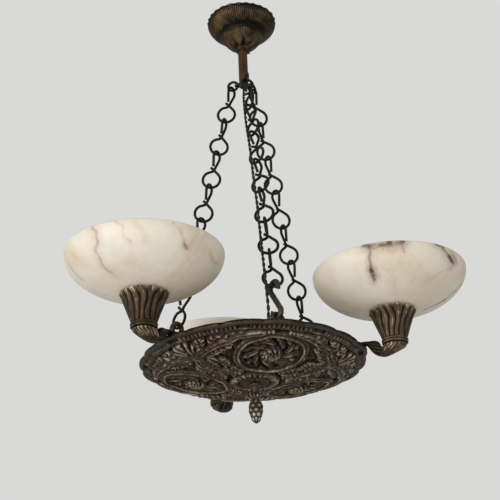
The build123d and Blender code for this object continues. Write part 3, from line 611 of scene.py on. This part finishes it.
def add_chains():
    rings = [moved(ring(TOP_RING_R, WIRE_R), (RING_CENTRE, 0, SWING_Z), a)
             for a in CHAINS.values()]
    add_piece("hanger_rings", rings, "black_iron", ["top_rings"])
    hook = s_hook()
    first_waist = TOP_RING_R - 2 * WIRE_R - LINK_GAP + TEARDROP
    for name, azimuth in CHAINS.items():
        wire = link(TEARDROP_TURNS[name])
        links = [hung(wire, azimuth, first_waist + LINK_PITCH * k, facing)
                 for k, facing in enumerate(EYE_FACINGS[name])]
        add_piece(f"{name}_links", links, "black_iron", [f"{name}_chain"])
        facing = HOOK_FACINGS[name]
        add_piece(f"{name}_hook", [hung(hook, azimuth, CHAIN_LENGTH, facing)],
                  "bronze_hooks", [f"{name}_s_hook"])
        eye, _ = on_chain(azimuth, EYE_RING_DROP, facing)
        top, end = boss_top(hypot(*eye[:2])), eye[2] - EYE_BOLT_RING_R
        shank = [(0, top - 7), (3.2, top - 7), (3.2, top), (5.5, top), (5.5, top + 2.5),
                 (3.2, top + 3.2), (3.2, end), (0, end)]
        add_piece(f"{name}_eye", [
            hung(ring(EYE_BOLT_RING_R, EYE_BOLT_WIRE_R), azimuth, EYE_RING_DROP, facing),
            moved(turned(soften(shank, 1), 24), (eye[0], eye[1], 0))],
            "bronze_hooks", [f"{name}_eye_bolt"])


def dish_z(radius, lift=0):
    """Height of the dish's underside at a radius, or that much above it."""
    share = np.minimum(radius / PLATE_R, 1)
    return RIM_Z - PLATE_DEPTH * (1 - share**2.2) + lift


def boss_top(radius):
    return dish_z(radius, PLATE_WALL) + 9


# ---- canopy and collar
CANOPY_LOBES = 26


def add_canopy():
    """A saucer and a smaller dome, P(u, a): a turned section with fine ribs, scallops at the
    rim, a double line below them and petals round the stem."""
    section = [(12.3, 56.5), (19, 53.5), (27, 47.5), (33.2, 40), (37, 32.5), (39.6, 28.8),
               (44, 25.8), (50.5, 21.5), (56.5, 15.5), (60.8, 8.5), (62.4, 3), (62.4, 0)]
    outer = curve_through(section, 7) * (1, -1) + (0, CANOPY_RIM_Z)
    count = len(outer)
    along = unit(np.gradient(outer, axis=0))
    inner = (outer + 2.6 * np.c_[-along[:, 1], along[:, 0]])[::-1][2::4]
    profile = vstack([outer, inner])
    down = (CANOPY_RIM_Z - profile[:, 1])[:, None]
    shown = (np.arange(len(profile)) < count)[:, None].astype(float)

    def ripple(r, z, a):
        saucer = clamp((28 - down) / 5) * clamp((down - 4.6) / 2)
        dome_ribs = clamp((down - 30) / 5) * clamp((55 - down) / 6)
        ribs = 0.85 * saucer * hump(104 * a + 0.6 * sin(5 * a))
        ribs += 0.75 * dome_ribs * hump(72 * a + 0.5 * sin(3 * a))
        broad = cos(CANOPY_LOBES * a + 0.7 * sin(4 * a)) * clamp((4.2 - down) / 4)
        petals = 0.9 * hump(9 * a) * bell(down - 52, 3.2)
        lines = bell(down - 5, 0.6) + bell(down - 8.2, 0.6)
        dent = 0.45 * sin(2 * a + 1) * sin(down / 16) + 0.3 * sin(5 * a + down / 9)
        dr = shown * (ribs + petals - 0.6 * lines - 0.5) + 0.9 * broad - 0.7
        return dr + 0.6 * dent, 0 * dr

    turns = CANOPY_LOBES * 28
    stand_out = ripple(*on_grid(profile, turns))[0]
    valley = 0.16 * bell(down - 29.5, 3.5) * shown
    raised = clamp(0.6 + 0.36 * stand_out - valley).ravel()
    add_piece("ribbed_canopy", [turned(profile, turns, True, ripple)], "bronze_canopy",
              ["canopy"], raised, "canopy")


def add_collar():
    """The small collar under the canopy, P(u, a) turned, its upper edge cut into leaves."""
    top = CANOPY_RIM_Z - CANOPY_DEPTH

    def leaves(r, z, a):
        flare = clamp((z - top + 4) / 4) * (r > 9.2)
        return 0.8 * flare * cos(8 * a), -0.9 * flare * cos(8 * a)

    profile = soften([(8.3, top + 1), (12.4, top + 0.6), (11.6, top - 1.6), (10.4, top - 3),
                      (10, top - 5), (10.7, top - 7), (10.2, top - 8.5),
                      (8.3, top - 8.5)], 2, closed=True)
    add_piece("leaf_collar", [turned(profile, 96, True, leaves)], "bronze_canopy",
              ["canopy_collar"], np.full(len(profile) * 96, 0.25), "canopy")


def add_stem():
    """The plain tube with its foot, P(u, a) turned, and three flat drilled lugs; then the
    screw that holds the canopy's collar on it."""
    low = STEM_BOTTOM_Z
    tube = [(3.4, low), (6.6, low), (8.1, low + 2.2), (8.1, low + 18), (8.2, low + 18.6),
            (8.2, STEM_TOP_Z), (5.6, STEM_TOP_Z), (5.6, low + 20), (3.4, low + 20)]
    parts = [turned(soften(tube, 1, closed=True), 64, closed=True)]
    span = linspace(-pi / 2, pi / 2, 15)
    edge = np.c_[LUG_AT + LUG_R * cos(span), LUG_R * sin(span)]
    edge = vstack([[(4, -LUG_R)], edge, [(4, LUG_R)]])
    turn = np.arctan2(edge[:, 1], edge[:, 0] - LUG_AT)
    hole = np.c_[LUG_AT + LUG_HOLE_R * cos(turn), LUG_HOLE_R * sin(turn)]
    edges = (edge, -LUG_HALF), (edge, LUG_HALF), (hole, LUG_HALF), (hole, -LUG_HALF)
    loops = [np.c_[line, np.full(len(line), SWING_Z + z)] for line, z in edges]
    lug = np.concatenate(loops), grid_faces(4, len(edge), wrap_rows=True)
    parts += [moved(lug, azimuth=azimuth) for azimuth in CHAINS.values()]
    add_piece("stem_with_lugs", parts, "bronze_stem", ["stem_tube", "chain_hanger"], (), "stem")
    z = CANOPY_RIM_Z - CANOPY_DEPTH - 5.6
    screw = [(0, 10.2), (3.4, 10.2), (3.6, 11.6), (3, 13.2), (0.8, 13.2), (0.8, 12.4), (0, 12.4)]
    points, faces = turned(soften(screw, 1), 24)
    points = np.c_[points[:, 2], points[:, 1], z - points[:, 0]]
    add_piece("collar_screw", [(points, faces)], "brass_fixings", ["canopy_set_screw"], (),
              "canopy")


# ---- plate
SECTOR_TURNS, PLATE_RINGS, TOP_RINGS = 200, 124, 33
ROUNDEL_RADIUS, ROUNDEL_R, ROUNDEL_FLOOR_R = 98, 58, 46.5
HUB_RADIUS, PAD_AT = 124, 149.5
LOBE_ENDS_R, WIDE_LOBE, NARROW_LOBE = 175, (43, 180), (17, 178)


def rim_radius(a):
    """The lobed outline round the vertical axis: arcs, each through its two ends and middle.
    A wide lobe lies at each chain and a narrow one at each arm."""
    turn = np.degrees(a) % 120 - 30
    turn = abs(where(turn > 60, turn - 120, turn))

    def lobe(away, half, middle):
        w = radians(half)
        centre = (middle**2 - LOBE_ENDS_R**2) / (2 * (middle - LOBE_ENDS_R * cos(w)))
        w = radians(away)
        return centre * cos(w) + np.sqrt((middle - centre) ** 2 - (centre * sin(w)) ** 2)

    wide, narrow = lobe(turn, *WIDE_LOBE), lobe(60 - turn, *NARROW_LOBE)
    scallop = 5 * (abs(cos(radians(turn) * 9)) ** 0.55 - 0.78)
    return where(turn <= WIDE_LOBE[0], wide, narrow) + scallop


def polar(radius, degrees):
    a = radians(degrees)
    return radius * cos(a), radius * sin(a)


def dome(q):
    """A half round: 1 on the line, 0 at q = 1 and beyond."""
    return np.sqrt(clamp(1 - q**2))


def over(field, height):
    """What stands on the ground: a motif covers the field wherever it has any height."""
    return where(height > 0.04, maximum(field, height), field)


def along_way(x, y, way, steps=9):
    """Each point's distance from the curve through `way`, its radii and degrees in turn, and
    the share of the way at the nearest place."""
    curve = curve_through([polar(*p) for p in np.reshape(way, (-1, 2))], steps)
    gaps = hypot(x[..., None] - curve[:, 0], y[..., None] - curve[:, 1])
    return gaps.min(axis=-1), gaps.argmin(axis=-1) / (len(curve) - 1)


def leaf(x, y, way, width, height, lobes):
    """An acanthus leaf on a curved spine: half width W sin(pi t)^0.6, cut into lobes; domed
    across, veined toward each lobe and grooved down its spine."""
    gap, t = along_way(x, y, way)
    swell = sin(pi * np.clip(t, 0.02, 0.98)) ** 0.6
    half = 1.22 * width * swell * (0.62 + 0.38 * abs(sin(lobes * pi * t)))
    q = gap / half
    veins = 0.7 + 0.3 * cos(TAU * (lobes * t - 0.55 * q + 0.15))
    spine = 1 - 0.5 * bell(gap, 0.9)
    return 1.45 * height * dome(q) ** 0.8 * veins * spine


def strap(x, y):
    """The double-ridged, dotted band from an arm's shell round the roundel to a scroll."""
    way = (126, 56, 131, 51, 137, 44, 143, 35, 149, 26, 154, 18, 157, 11)
    gap, t = along_way(x, y, way, 14)
    half = 7.2 - 1.8 * t
    ridges = dome(gap / half) ** 0.7 - 0.34 * bell(gap, 1.5)
    dots = 0.55 * bell(gap, 1.3) * clamp(cos(TAU * 9 * t))
    band = 5.8 * (ridges - dots * (t > 0.1))
    u, v = polar(158.5, 7)
    far = hypot(x - u, y - v)
    scroll = maximum(4.8 * dome((far - 6.2) / 2.8), 5.2 * dome(far / 3))
    return maximum(band, scroll)


def shell(x, y):
    """A fan of seven wavy ribs from the hub under an arm to the rim, and the smooth hub."""
    u, v = polar(HUB_RADIUS, 60)
    out = radians(60)
    du, dv = x - u, y - v
    ahead, beside = (du * cos(out) + dv * sin(out)), (dv * cos(out) - du * sin(out))
    far = hypot(ahead, beside)
    spread = np.arctan2(beside, ahead) + 0.05 * sin(far / 4.5)
    ribs = hump(20 * spread) ** 0.75
    reach = 39 - 9 * abs(spread) ** 1.5 + 2 * ribs
    fan = (0.8 + 5 * ribs) * clamp((reach - far) / 3) * clamp((far - 5) / 8)
    fan = fan * (abs(spread) < 1.16)
    hub = 7 * dome(far / 9.5) ** 0.8
    return maximum(fan, hub)


def inner_bands(x, y):
    """Under each arm a beaded band that runs to the middle, and a thin ridge beside it."""
    gap, t = along_way(x, y, (118, 60, 96, 60, 72, 60, 46, 60), 22)
    beads = 0.72 + 0.28 * cos(TAU * 12 * t)
    beaded = 3.8 * dome(gap / 4.6) * beads
    gap, t = along_way(x, y, (119, 57, 112, 52, 100, 48.5, 86, 48, 70, 51, 54, 53))
    return maximum(beaded, 2.6 * dome(gap / 1.7))


LEAVES = (
    # radius and degrees of each point of the way, half width, height, lobes
    ((133, 52, 146, 49, 157, 47, 163, 42), 8, 4.2, 5),
    ((141, 44, 151, 40, 159, 36, 161, 31), 7, 4, 4),
    ((148, 33, 156, 29, 160, 23, 159, 18), 5.5, 3.6, 4),
    ((121, 53, 124, 45, 129, 37, 136, 29), 7.5, 3.8, 6),
    ((114, 55, 104, 56, 92, 55, 82, 56), 5, 3, 5),
    ((106, 47, 97, 44, 88, 44, 78, 46), 5.4, 3.4, 5),
    ((74, 55, 64, 51, 55, 45, 49, 36), 6, 3.8, 5),
    ((80, 44, 70, 43, 60, 41, 52, 33), 4.4, 3.2, 4),
    ((142, 23, 148, 17, 151, 10, 152, 3), 3.6, 2.6, 5),
)


def rim_band(radius, a):
    """A rolled outer edge, a row of upright bars in groups, and a fillet line."""
    bars = abs(cos(75 * a)) ** 0.7 * (cos(9 * a) > -0.86)
    row = 3.2 * dome((radius - 169.8) / 3.8) ** 0.6 * bars
    roll = 2.6 * dome((radius - 177.6) / 3.9) ** 0.8
    line = 2.3 * dome((radius - 164.6) / 1.5)
    return over(over(over(-0.9 + 0 * radius, row), roll), line)


def roundel(x, y, base):
    """A recessed medallion: a double ring on a flat seat, leaf curls sunk inside it and a big
    swirled bud."""
    far, turn = hypot(x - ROUNDEL_RADIUS, y), np.arctan2(y, x - ROUNDEL_RADIUS)
    turn = turn + 0.05 * sin(3 * turn + 1) + 0.03 * sin(7 * turn)
    rings = maximum(2.6 * dome((far - 55.6) / 2.4), 3.8 * dome((far - 50) / 3))
    rings = maximum(rings * (0.93 + 0.07 * cos(42 * turn)), 0.4)
    outside = where(far < ROUNDEL_R + 0.6, maximum(rings, 0.6 * base), base)
    swirl = turn + 0.9 * np.log(maximum(far, 4) / 20)
    curls = hump(9 * swirl) ** 0.6 * (0.8 + 0.2 * cos(36 * swirl))
    reach = sin(pi * clamp((far - 17) / 26)) ** 0.5
    floor = -6 + 7.4 * curls * reach
    second = hump(13 * turn + 0.14 * far) ** 0.8
    floor = maximum(floor, -6 + 6.6 * second * dome((far - 39.5) / 6.5))
    floor = maximum(floor, -6 + 6.2 * dome((far - 45.4) / 1.8))
    petals = 0.74 + 0.26 * cos(9 * (turn + 1.9 * far / 20))
    heart = 0.85 + 0.15 * cos(TAU * far / 4.2)
    bud = -5 + 13.5 * dome(far / 18) * petals * heart + 2 * dome(far / 5)
    floor = where(far < 18, maximum(floor, bud), floor)
    wall = clamp((far - ROUNDEL_FLOOR_R) / 1.8)
    return where(far < ROUNDEL_FLOOR_R + 1.8, floor * (1 - wall) + rings * wall, outside)


def relief(radius, a):
    """How far the underside stands out, for points of one 120 degree sector with a chain's
    roundel in its middle. Motifs that mirror are worked out on its folded half."""
    x, y = radius * cos(a), radius * sin(a)
    away = clamp((radius - 42) / 10) * clamp((162 - radius) / 8)
    bend_x = away * (1.1 * sin(y / 7.1 + 1.4 * sin(x / 11)) + 0.5 * sin(x / 3.9 + y / 5.3))
    bend_y = away * (1.1 * sin(x / 6.3 + 1.2 * sin(y / 9)) * clamp(abs(y) / 8))
    folded = abs(y + bend_y)
    x = x + bend_x
    strands = sin(x / 2.6 + 2.4 * sin(folded / 6.5) + 0.9 * sin(x / 5.1))
    strands *= sin(folded / 3.2 + 1.9 * sin(x / 7.7))
    field = -3 + 2.6 * abs(strands) ** 0.7
    for values in LEAVES:
        field = over(field, leaf(x, folded, *values))
    for motif in (inner_bands, shell, strap):
        field = over(field, motif(x, folded))
    field += 0.22 * sin(x / 1.5 + 1.7 * sin(y / 1.9)) * sin(y / 1.4 + sin(x / 2.1))
    field = roundel(x, y, field)
    teeth = 0.3 + 0.7 * abs(cos(12 * a)) ** 0.8
    teeth *= 0.86 + 0.14 * sin(5 * a + 1) * cos(36 * a)
    field = over(field, 6 * dome((radius - 32.5) / 7.8) * teeth)
    calyx = 4.6 + 1.2 * cos(12 * a) * clamp(radius / 12)
    field = where(radius < 24, maximum(field, calyx * dome(radius / 25) ** 0.4), field)
    band = rim_band(radius, a)
    return where(radius > 162.6, band, field)


def add_plate():
    """The underside P(s, a) = (s R(a) cos a, s R(a) sin a, dish(s) - relief), rolled over the
    rim to a plainer top side, with the cast bosses and pads for what is screwed to it."""
    a = (np.arange(SECTOR_TURNS) / SECTOR_TURNS - 0.5) * TAU / 3
    share = linspace(0, 1, PLATE_RINGS)[:, None] ** 0.82
    rows = share * PLATE_R
    high = np.tile(relief(np.repeat(rows, SECTOR_TURNS, 1), a[None] + 0 * rows), (1, 3))
    a = radians(30) + np.concatenate([a, a + TAU / 3, a + 2 * TAU / 3])
    outline = rim_radius(a) / PLATE_R
    under = np.minimum(dish_z(rows) - high, RIM_Z - 0.5)
    edge = array([(1, 0.4), (1, 2), (0.994, 3.2), (0.955, 3.3), (0.948, 2.2)])
    top_share = linspace(0.935, 0, TOP_RINGS)[:, None]
    top_r = top_share * PLATE_R
    turn = np.angle(np.exp(3j * (a - radians(270)))) / 3
    far = hypot(top_r * cos(turn) - ROUNDEL_RADIUS, top_r * sin(turn))
    top_z = dish_z(top_r, PLATE_WALL + 0.8) + 3.6 * clamp((55 - far) / 5)
    shares = vstack([share, edge[:, :1], top_share])
    heights = vstack([under, edge[:, 1:] + RIM_Z + 0 * a, top_z])
    points = round_axis(shares * PLATE_R * outline, a, heights)
    wide = high
    for _ in range(5):
        wide = (wide + np.roll(wide, 2, 1) + np.roll(wide, -2, 1)
                + vstack([wide[2:], wide[-2:]]) + vstack([wide[:2], wide[:-2]])) / 5
    raised = clamp(0.43 + (high - wide) * 0.17 + 0.016 * high)
    back = np.full((len(shares) - len(share), a.size), 0.4)
    back[:4] = 0.26
    parts = [(points, grid_faces(len(shares), a.size))]
    for azimuth in CHAINS.values():
        eye, _ = on_chain(azimuth, EYE_RING_DROP, 0)
        radius = hypot(*eye[:2])
        top = boss_top(radius)
        boss = [(0, top - 11), (8.5, top - 11), (7.5, top - 6), (7.3, top), (0, top)]
        parts.append(moved(turned(soften(boss, 1), 32), (radius, 0, 0), azimuth))
    for azimuth in ARMS.values():
        parts.append(moved(block((PAD_AT, 0, RIM_Z - 3.6), (27, 26, 5.2)), azimuth=azimuth))
    seat = RIM_Z - PLATE_DEPTH + PLATE_WALL + 1.5
    parts.append(turned(soften([(0, seat - 5), (13, seat - 5), (12, seat), (0, seat)], 1), 48))
    add_piece("relief_plate", parts, "bronze_plate", ["plate"], vstack([raised, back]).ravel())


def block(centre, size, bevel=0.08):
    """A closed slab with softened edges."""
    ring_r = array([0, 1 - bevel, 1, 1, 1 - bevel, 0])
    ring_z = array([-1, -1, bevel - 1, 1 - bevel, 1, 1])
    a = radians(np.add.outer((45, 135, 225, 315), (-6, 6)).ravel())
    corner = np.c_[cos(a), sin(a)] / cos(radians(39))
    xy = ring_r[:, None, None] * corner
    z = np.broadcast_to(ring_z[:, None, None], (6, 8, 1))
    points = np.concatenate([xy, z], axis=-1).reshape(-1, 3) * array(size) / 2
    return points + centre, grid_faces(6, 8)


# ---- finial
FINIAL_TOP_Z = RIM_Z - PLATE_DEPTH - 6


def add_finial():
    """A turned stalk and a bud: r(z) with staggered rows of scales that flare downward."""
    section = [(0, 1), (9, 0.6), (9.6, -2.5), (6.4, -5.5), (5.2, -13), (7.3, -16.5),
               (8.4, -18.5), (7.6, -21), (5.8, -23.5), (8.4, -27), (10.3, -33), (10.8, -39),
               (9.8, -46), (7.8, -53), (4.8, -58.5), (2, -61.5), (0, -62.6)]
    profile = curve_through(section, 10) + (0, FINIAL_TOP_Z)
    profile[:, 0] = maximum(profile[:, 0], 0)
    profile[0, 0] = profile[-1, 0] = 0

    def scales(r, z, a):
        down = (FINIAL_TOP_Z - 24 - z) / 7.2
        row = np.floor(down)
        within = down - row
        lobes = abs(cos(3.5 * a + row * pi / 2)) ** 0.8
        bud = clamp(down * 3) * clamp(r / 4)
        flare = bud * (1.5 * lobes * sin(pi * within) ** 0.6 + 0.5 * within - 0.9)
        cuff = bell(z - FINIAL_TOP_Z + 18.5, 2.2) * cos(9 * a)
        return flare + 0.9 * cuff, -0.8 * bud * lobes * within

    raised = clamp(0.55 + 0.4 * scales(*on_grid(profile, 112))[0]).ravel()
    add_piece("bud_finial", [turned(profile, 112, ripple=scales)], "bronze_plate",
              ["finial"], raised)


# ---- arms
ARM_FACE_Z = RIM_Z + 1.5
# level slices of the bulb under the ring: height, middle and half length, half width
ELBOW_SLICES = [
    (1.5, 223.9, 17, 17), (-0.6, 223, 18.2, 17.6), (-3.4, 220.4, 18.4, 16.8),
    (-8, 213, 15.6, 14.6), (-12.4, 208.2, 11.2, 10.8), (-15, 206, 6, 6.4)]
# upright slices of the neck: distance from the axis, underside and top, half width
NECK_SLICES = [
    (213, -13, -2, 12), (203.6, -14.6, -0.6, 13.8), (201.3, -14.8, 4.2, 13.4),
    (198, -14.2, 8.4, 12.4), (193, -11.8, 10.6, 10.8), (188, -7.4, 11, 9),
    (184, -1.6, 11, 7.8), (180.2, 3.9, 11, 7.2), (175, 4, 11, 7),
    (150, 4, 11, 7), (139, 4, 11, 7)]


def capped(rows):
    """Rings of points from one end to the other, closed by a small ring and a point each."""
    first, last = rows[:1].mean(axis=1, keepdims=True), rows[-1:].mean(axis=1, keepdims=True)
    rows = np.concatenate([
        first + 0 * rows[:1], first + 0.85 * (rows[:1] - first), rows,
        last + 0.85 * (rows[-1:] - last), last + 0 * rows[-1:]])
    return rows.reshape(-1, 3), grid_faces(len(rows), rows.shape[1])


def add_arms():
    """A cast arm: a bulb P(u, a) in ribbed leaves that sweep down and inward, a ribbed neck
    and the screwed foot."""
    sides = 96
    a = turns_of(sides)
    table = curve_through(ELBOW_SLICES, 9)
    z, middle, half, across = (table[:, k:k + 1] for k in range(4))
    depth = (1.5 - z) / 16.5
    sweep = a + 0.5 * depth * sin(a)
    ribs = abs(cos(9 * sweep)) ** 0.7 * clamp(depth * 7)
    tips = 0.62 + 0.16 * abs(cos(4.5 * sweep))
    leaf_edge = clamp((tips - depth) / 0.05)
    d = leaf_edge * (0.9 * ribs - 0.1) + 0.45 * cos(18 * sweep) * (1 - leaf_edge) * 0.5 - 0.6
    d = d * clamp(half / 8)
    bulb = stack([middle + (half + d) * cos(a), (across + d) * sin(a), z + 0 * a], axis=-1)
    bulb_raised = clamp(0.42 + 0.42 * (ribs - 0.5) + 0.22 * (leaf_edge - 0.5))
    table = curve_through(NECK_SLICES, 7)
    r, low, high, across = (table[:, k:k + 1] for k in range(4))
    u = (213 - r) / 40
    ribs = cos(10 * a + 3 * cos(a)) * clamp((r - 180) / 12)
    d = 0.5 * ribs - 0.3
    neck = stack([r + 0 * a, (across + d) * sin(a),
                     (low + high) / 2 + ((high - low) / 2 + d * (r > 182)) * cos(a)], axis=-1)
    neck_raised = clamp(0.34 + 0.2 * ribs - 0.14 * clamp(u))
    parts, raised = [], []
    for rows, level in ((bulb, bulb_raised), (neck, neck_raised)):
        parts.append(capped(rows + (0, 0, RIM_Z)))
        pad = np.full((2, sides), 0.3)
        raised.append(vstack([pad, level, pad]).ravel())
    parts.append(block((PAD_AT, 0, RIM_Z + 3), (27, 24, 8)))
    for name, azimuth in ARMS.items():
        add_piece(f"{name}_leafy_arm", [moved(part, azimuth=azimuth) for part in parts],
                  "bronze_arms", [f"{name}_arm"], np.concatenate(raised))


# ---- cups, rings, bowls and lamps
CUP_FOOT_Z, CUP_LIP_Z, CUP_TONGUES = RIM_Z + 9.5, RIM_Z + 56, 16
BOWL_FLOOR_Z = BOWL_RIM_Z - BOWL_DEPTH + BOWL_WALL
HOLDER_TOP_Z = BOWL_FLOOR_Z + 2 + 4 + 40
BULB_R = 22.5


def add_cups():
    """A flared cup P(u, a): tongues with a groove down the middle that waver as they rise and
    end in rounded tips."""
    height = CUP_LIP_Z - CUP_FOOT_Z
    levels, turns = 64, CUP_TONGUES * 20
    u = linspace(0, 1, levels)[:, None]
    a = turns_of(turns)
    body = np.interp(u, (0, 0.05, 0.12, 0.35, 0.62, 0.84, 0.94, 1),
                     (19, 19.6, 20.6, 24.6, 29.2, 32.8, 35, 36.2))
    waver = a + 0.08 * sin(TAU * u * 0.9 + 0.5 + 1.3 * sin(3 * a))
    phase = CUP_TONGUES * (waver + 0.022 * sin(TAU * 1.7 * u + 5 * a))
    wave = hump(phase)
    valley = (1 - wave) ** 3
    fine = hump(3 * phase + 0.9 * sin(2 * a + 4 * u))
    depth = clamp(u / 0.06) * (1.2 + 1.9 * u)
    stand = 1 - valley - 0.26 * (1 - fine) * wave**0.5
    r = body + depth * (stand - 0.7)
    tip = clamp((u - 0.74) / 0.26)
    uneven = 0.5 + 0.5 * sin(5 * a + 0.8) * cos(3 * a)
    z = CUP_FOOT_Z + height * (u - tip * (0.1 * valley + 0.03 * uneven + 0.012 * (1 - wave)))
    inner_u = linspace(0.97, 0.1, 20)[:, None]
    inner = np.interp(inner_u, (0, 0.12, 0.35, 0.62, 0.84, 1),
                      (15, 17, 20.6, 25.6, 29.4, 32.6))
    inner_z = CUP_FOOT_Z + height * (inner_u - 0.085 * (inner_u > 0.9) * valley[-1:]) + 0 * a
    base = array([(14, 5), (6, 5), (6, 0)])[..., None] + 0 * a
    r = vstack([r, inner + 0 * a, base[:, 0]])
    z = vstack([z, inner_z, CUP_FOOT_Z + base[:, 1]])
    part = round_axis(r, a, z), grid_faces(len(r), turns, wrap_rows=True)
    raised = clamp(0.1 + 0.56 * stand + 0.16 * tip).ravel()
    add_on_arms("fluted_cup", "cup", part, "bronze_arms", raised)


def add_cup_rings():
    """A turned ring: a plain roll over a groove and a row of beads, r + bead |cos(n a)|."""
    low, high = ARM_FACE_Z, CUP_FOOT_Z
    profile = soften([
        (5.2, low), (17.4, low), (19, low + 0.6), (19.6, low + 1.8), (18.9, low + 3),
        (18.4, low + 3.7), (19.4, low + 4.3), (20.7, low + 5.4), (20.2, low + 6.8),
        (18.9, high), (5.2, high)], 3, closed=True)

    def beads(r, z, a):
        row = bell(z - low - 1.8, 1.1) * (r > 17)
        return row * (1.2 * abs(cos(20 * a)) ** 0.8 - 0.3), 0 * z

    r, z, a = on_grid(profile, 320)
    raised = clamp(0.3 + 0.1 * (r - 17.5) + 0.3 * beads(r, z, a)[0]).ravel()
    add_on_arms("beaded_ring", "cup_ring", turned(profile, 320, True, beads), "bronze_arms",
                raised)


def add_bowls():
    """A half ellipse of revolution with a wall, a rolled lip and a flat foot with a hole."""
    def half_ellipse(width, depth):
        t = radians(linspace(0, 81, 44))
        return np.c_[width * cos(t), BOWL_RIM_Z - 3 - (depth - 3) * sin(t)]

    outer = half_ellipse(BOWL_R, BOWL_DEPTH)
    inner = half_ellipse(BOWL_R - BOWL_WALL, BOWL_DEPTH - BOWL_WALL)
    t = radians(linspace(0, 180, 13))[1:-1]
    middle, half = BOWL_R - BOWL_WALL / 2, BOWL_WALL / 2
    lip = np.c_[middle - half * cos(t), BOWL_RIM_Z - 3 + 3 * sin(t)]
    under = BOWL_RIM_Z - BOWL_DEPTH
    foot = [(17.5, under), (6, under), (6, BOWL_FLOOR_Z), (17, BOWL_FLOOR_Z)]
    profile = vstack([inner[::-1], lip, outer, foot])
    add_on_arms("alabaster_bowl", "bowl", turned(profile, 192, closed=True), "alabaster")


def add_bulbs():
    """A frosted globe: a circle turned, drawn in to the neck that enters the holder."""
    centre = HOLDER_TOP_Z + BULB_R + 4
    t = radians(linspace(-62, 90, 44))
    globe = np.c_[BULB_R * cos(t), centre + BULB_R * sin(t)]
    neck = curve_through([(6.6, HOLDER_TOP_Z - 1), (6.9, HOLDER_TOP_Z + 1.5),
                          (8.4, HOLDER_TOP_Z + 4.2), tuple(globe[0])], 6)[:-1]
    contact = BOWL_FLOOR_Z + 20.3
    cap = [(0, contact), (3.5, contact), (6.6, contact + 3)]
    globe[-1, 0] = 0
    part = turned(vstack([cap, neck, globe]), 72)
    add_on_arms("frosted_bulb", "bulb", part, "bulb_glass")


# ---- stage and light
WALL_COLOR = "d9d9d8"


def add_stage():
    """A pale floor far below the pendant. The camera sees it in the colour of the wall."""
    size, height = 14, -3.6
    floor = bpy.data.meshes.new("floor")
    corners = [(x * size, y * size, height) for x, y in ((-1, -1), (1, -1), (1, 1), (-1, 1))]
    floor.from_pydata(corners, [], [(0, 1, 2, 3)])
    material, n, shader = new_material("pale_floor")
    n.fill(shader, {"Base Color": "dcdcdb", "Roughness": 0.85})
    nodes = material.node_tree.nodes
    n.fill(nodes["Material Output"].inputs, {"Surface": n.add("MixShader", {
        0: n.add("LightPath"), 1: nodes["Principled BSDF"].outputs[0],
        2: n.add("Emission", {"Color": WALL_COLOR})})})
    floor.materials.append(material)
    add_object("floor", floor)


def add_lamp(name, place, size, power, color=(1, 1, 1)):
    """A square soft lamp that faces the middle of the pendant."""
    light = bpy.data.lights.new(name, "AREA")
    light.size, light.energy, light.color = size, power, color
    back = unit(array(place) - (0, 0, -0.6))
    right = unit(np.cross([0, 0, 1], back))
    place_in_scene(name, light, place, right, np.cross(back, right))


def light_scene():
    """A window to the left, a weak fill, and an even room with a pale wall behind."""
    add_lamp("window", (-2.3, -1.7, -1.15), 2.4, 58, (1, 0.985, 0.96))
    add_lamp("fill", (0.2, -2.4, -1.7), 2, 12)
    world = bpy.data.worlds.new("room")
    bpy.context.scene.world = world
    world.use_nodes = True
    n, nodes = Nodes(world.node_tree), world.node_tree.nodes
    room = nodes["Background"]
    n.fill(room.inputs, {"Color": (0.46, 0.46, 0.455, 1)})
    path = n.add("LightPath").node.outputs
    seen = n.math("MAXIMUM", path["Is Camera Ray"], path["Is Transmission Ray"])
    n.fill(nodes["World Output"].inputs, {"Surface": n.add("MixShader", {
        0: seen, 1: room.outputs[0], 2: n.add("Background", {"Color": WALL_COLOR})})})


for build in (twisted_flex, add_chains, add_canopy, add_collar, add_stem, add_plate, add_finial,
              add_arms, add_cups, add_cup_rings, add_bowls, add_bulbs, add_stage, light_scene):
    build()
bpy.context.scene.view_settings.view_transform = "Standard"
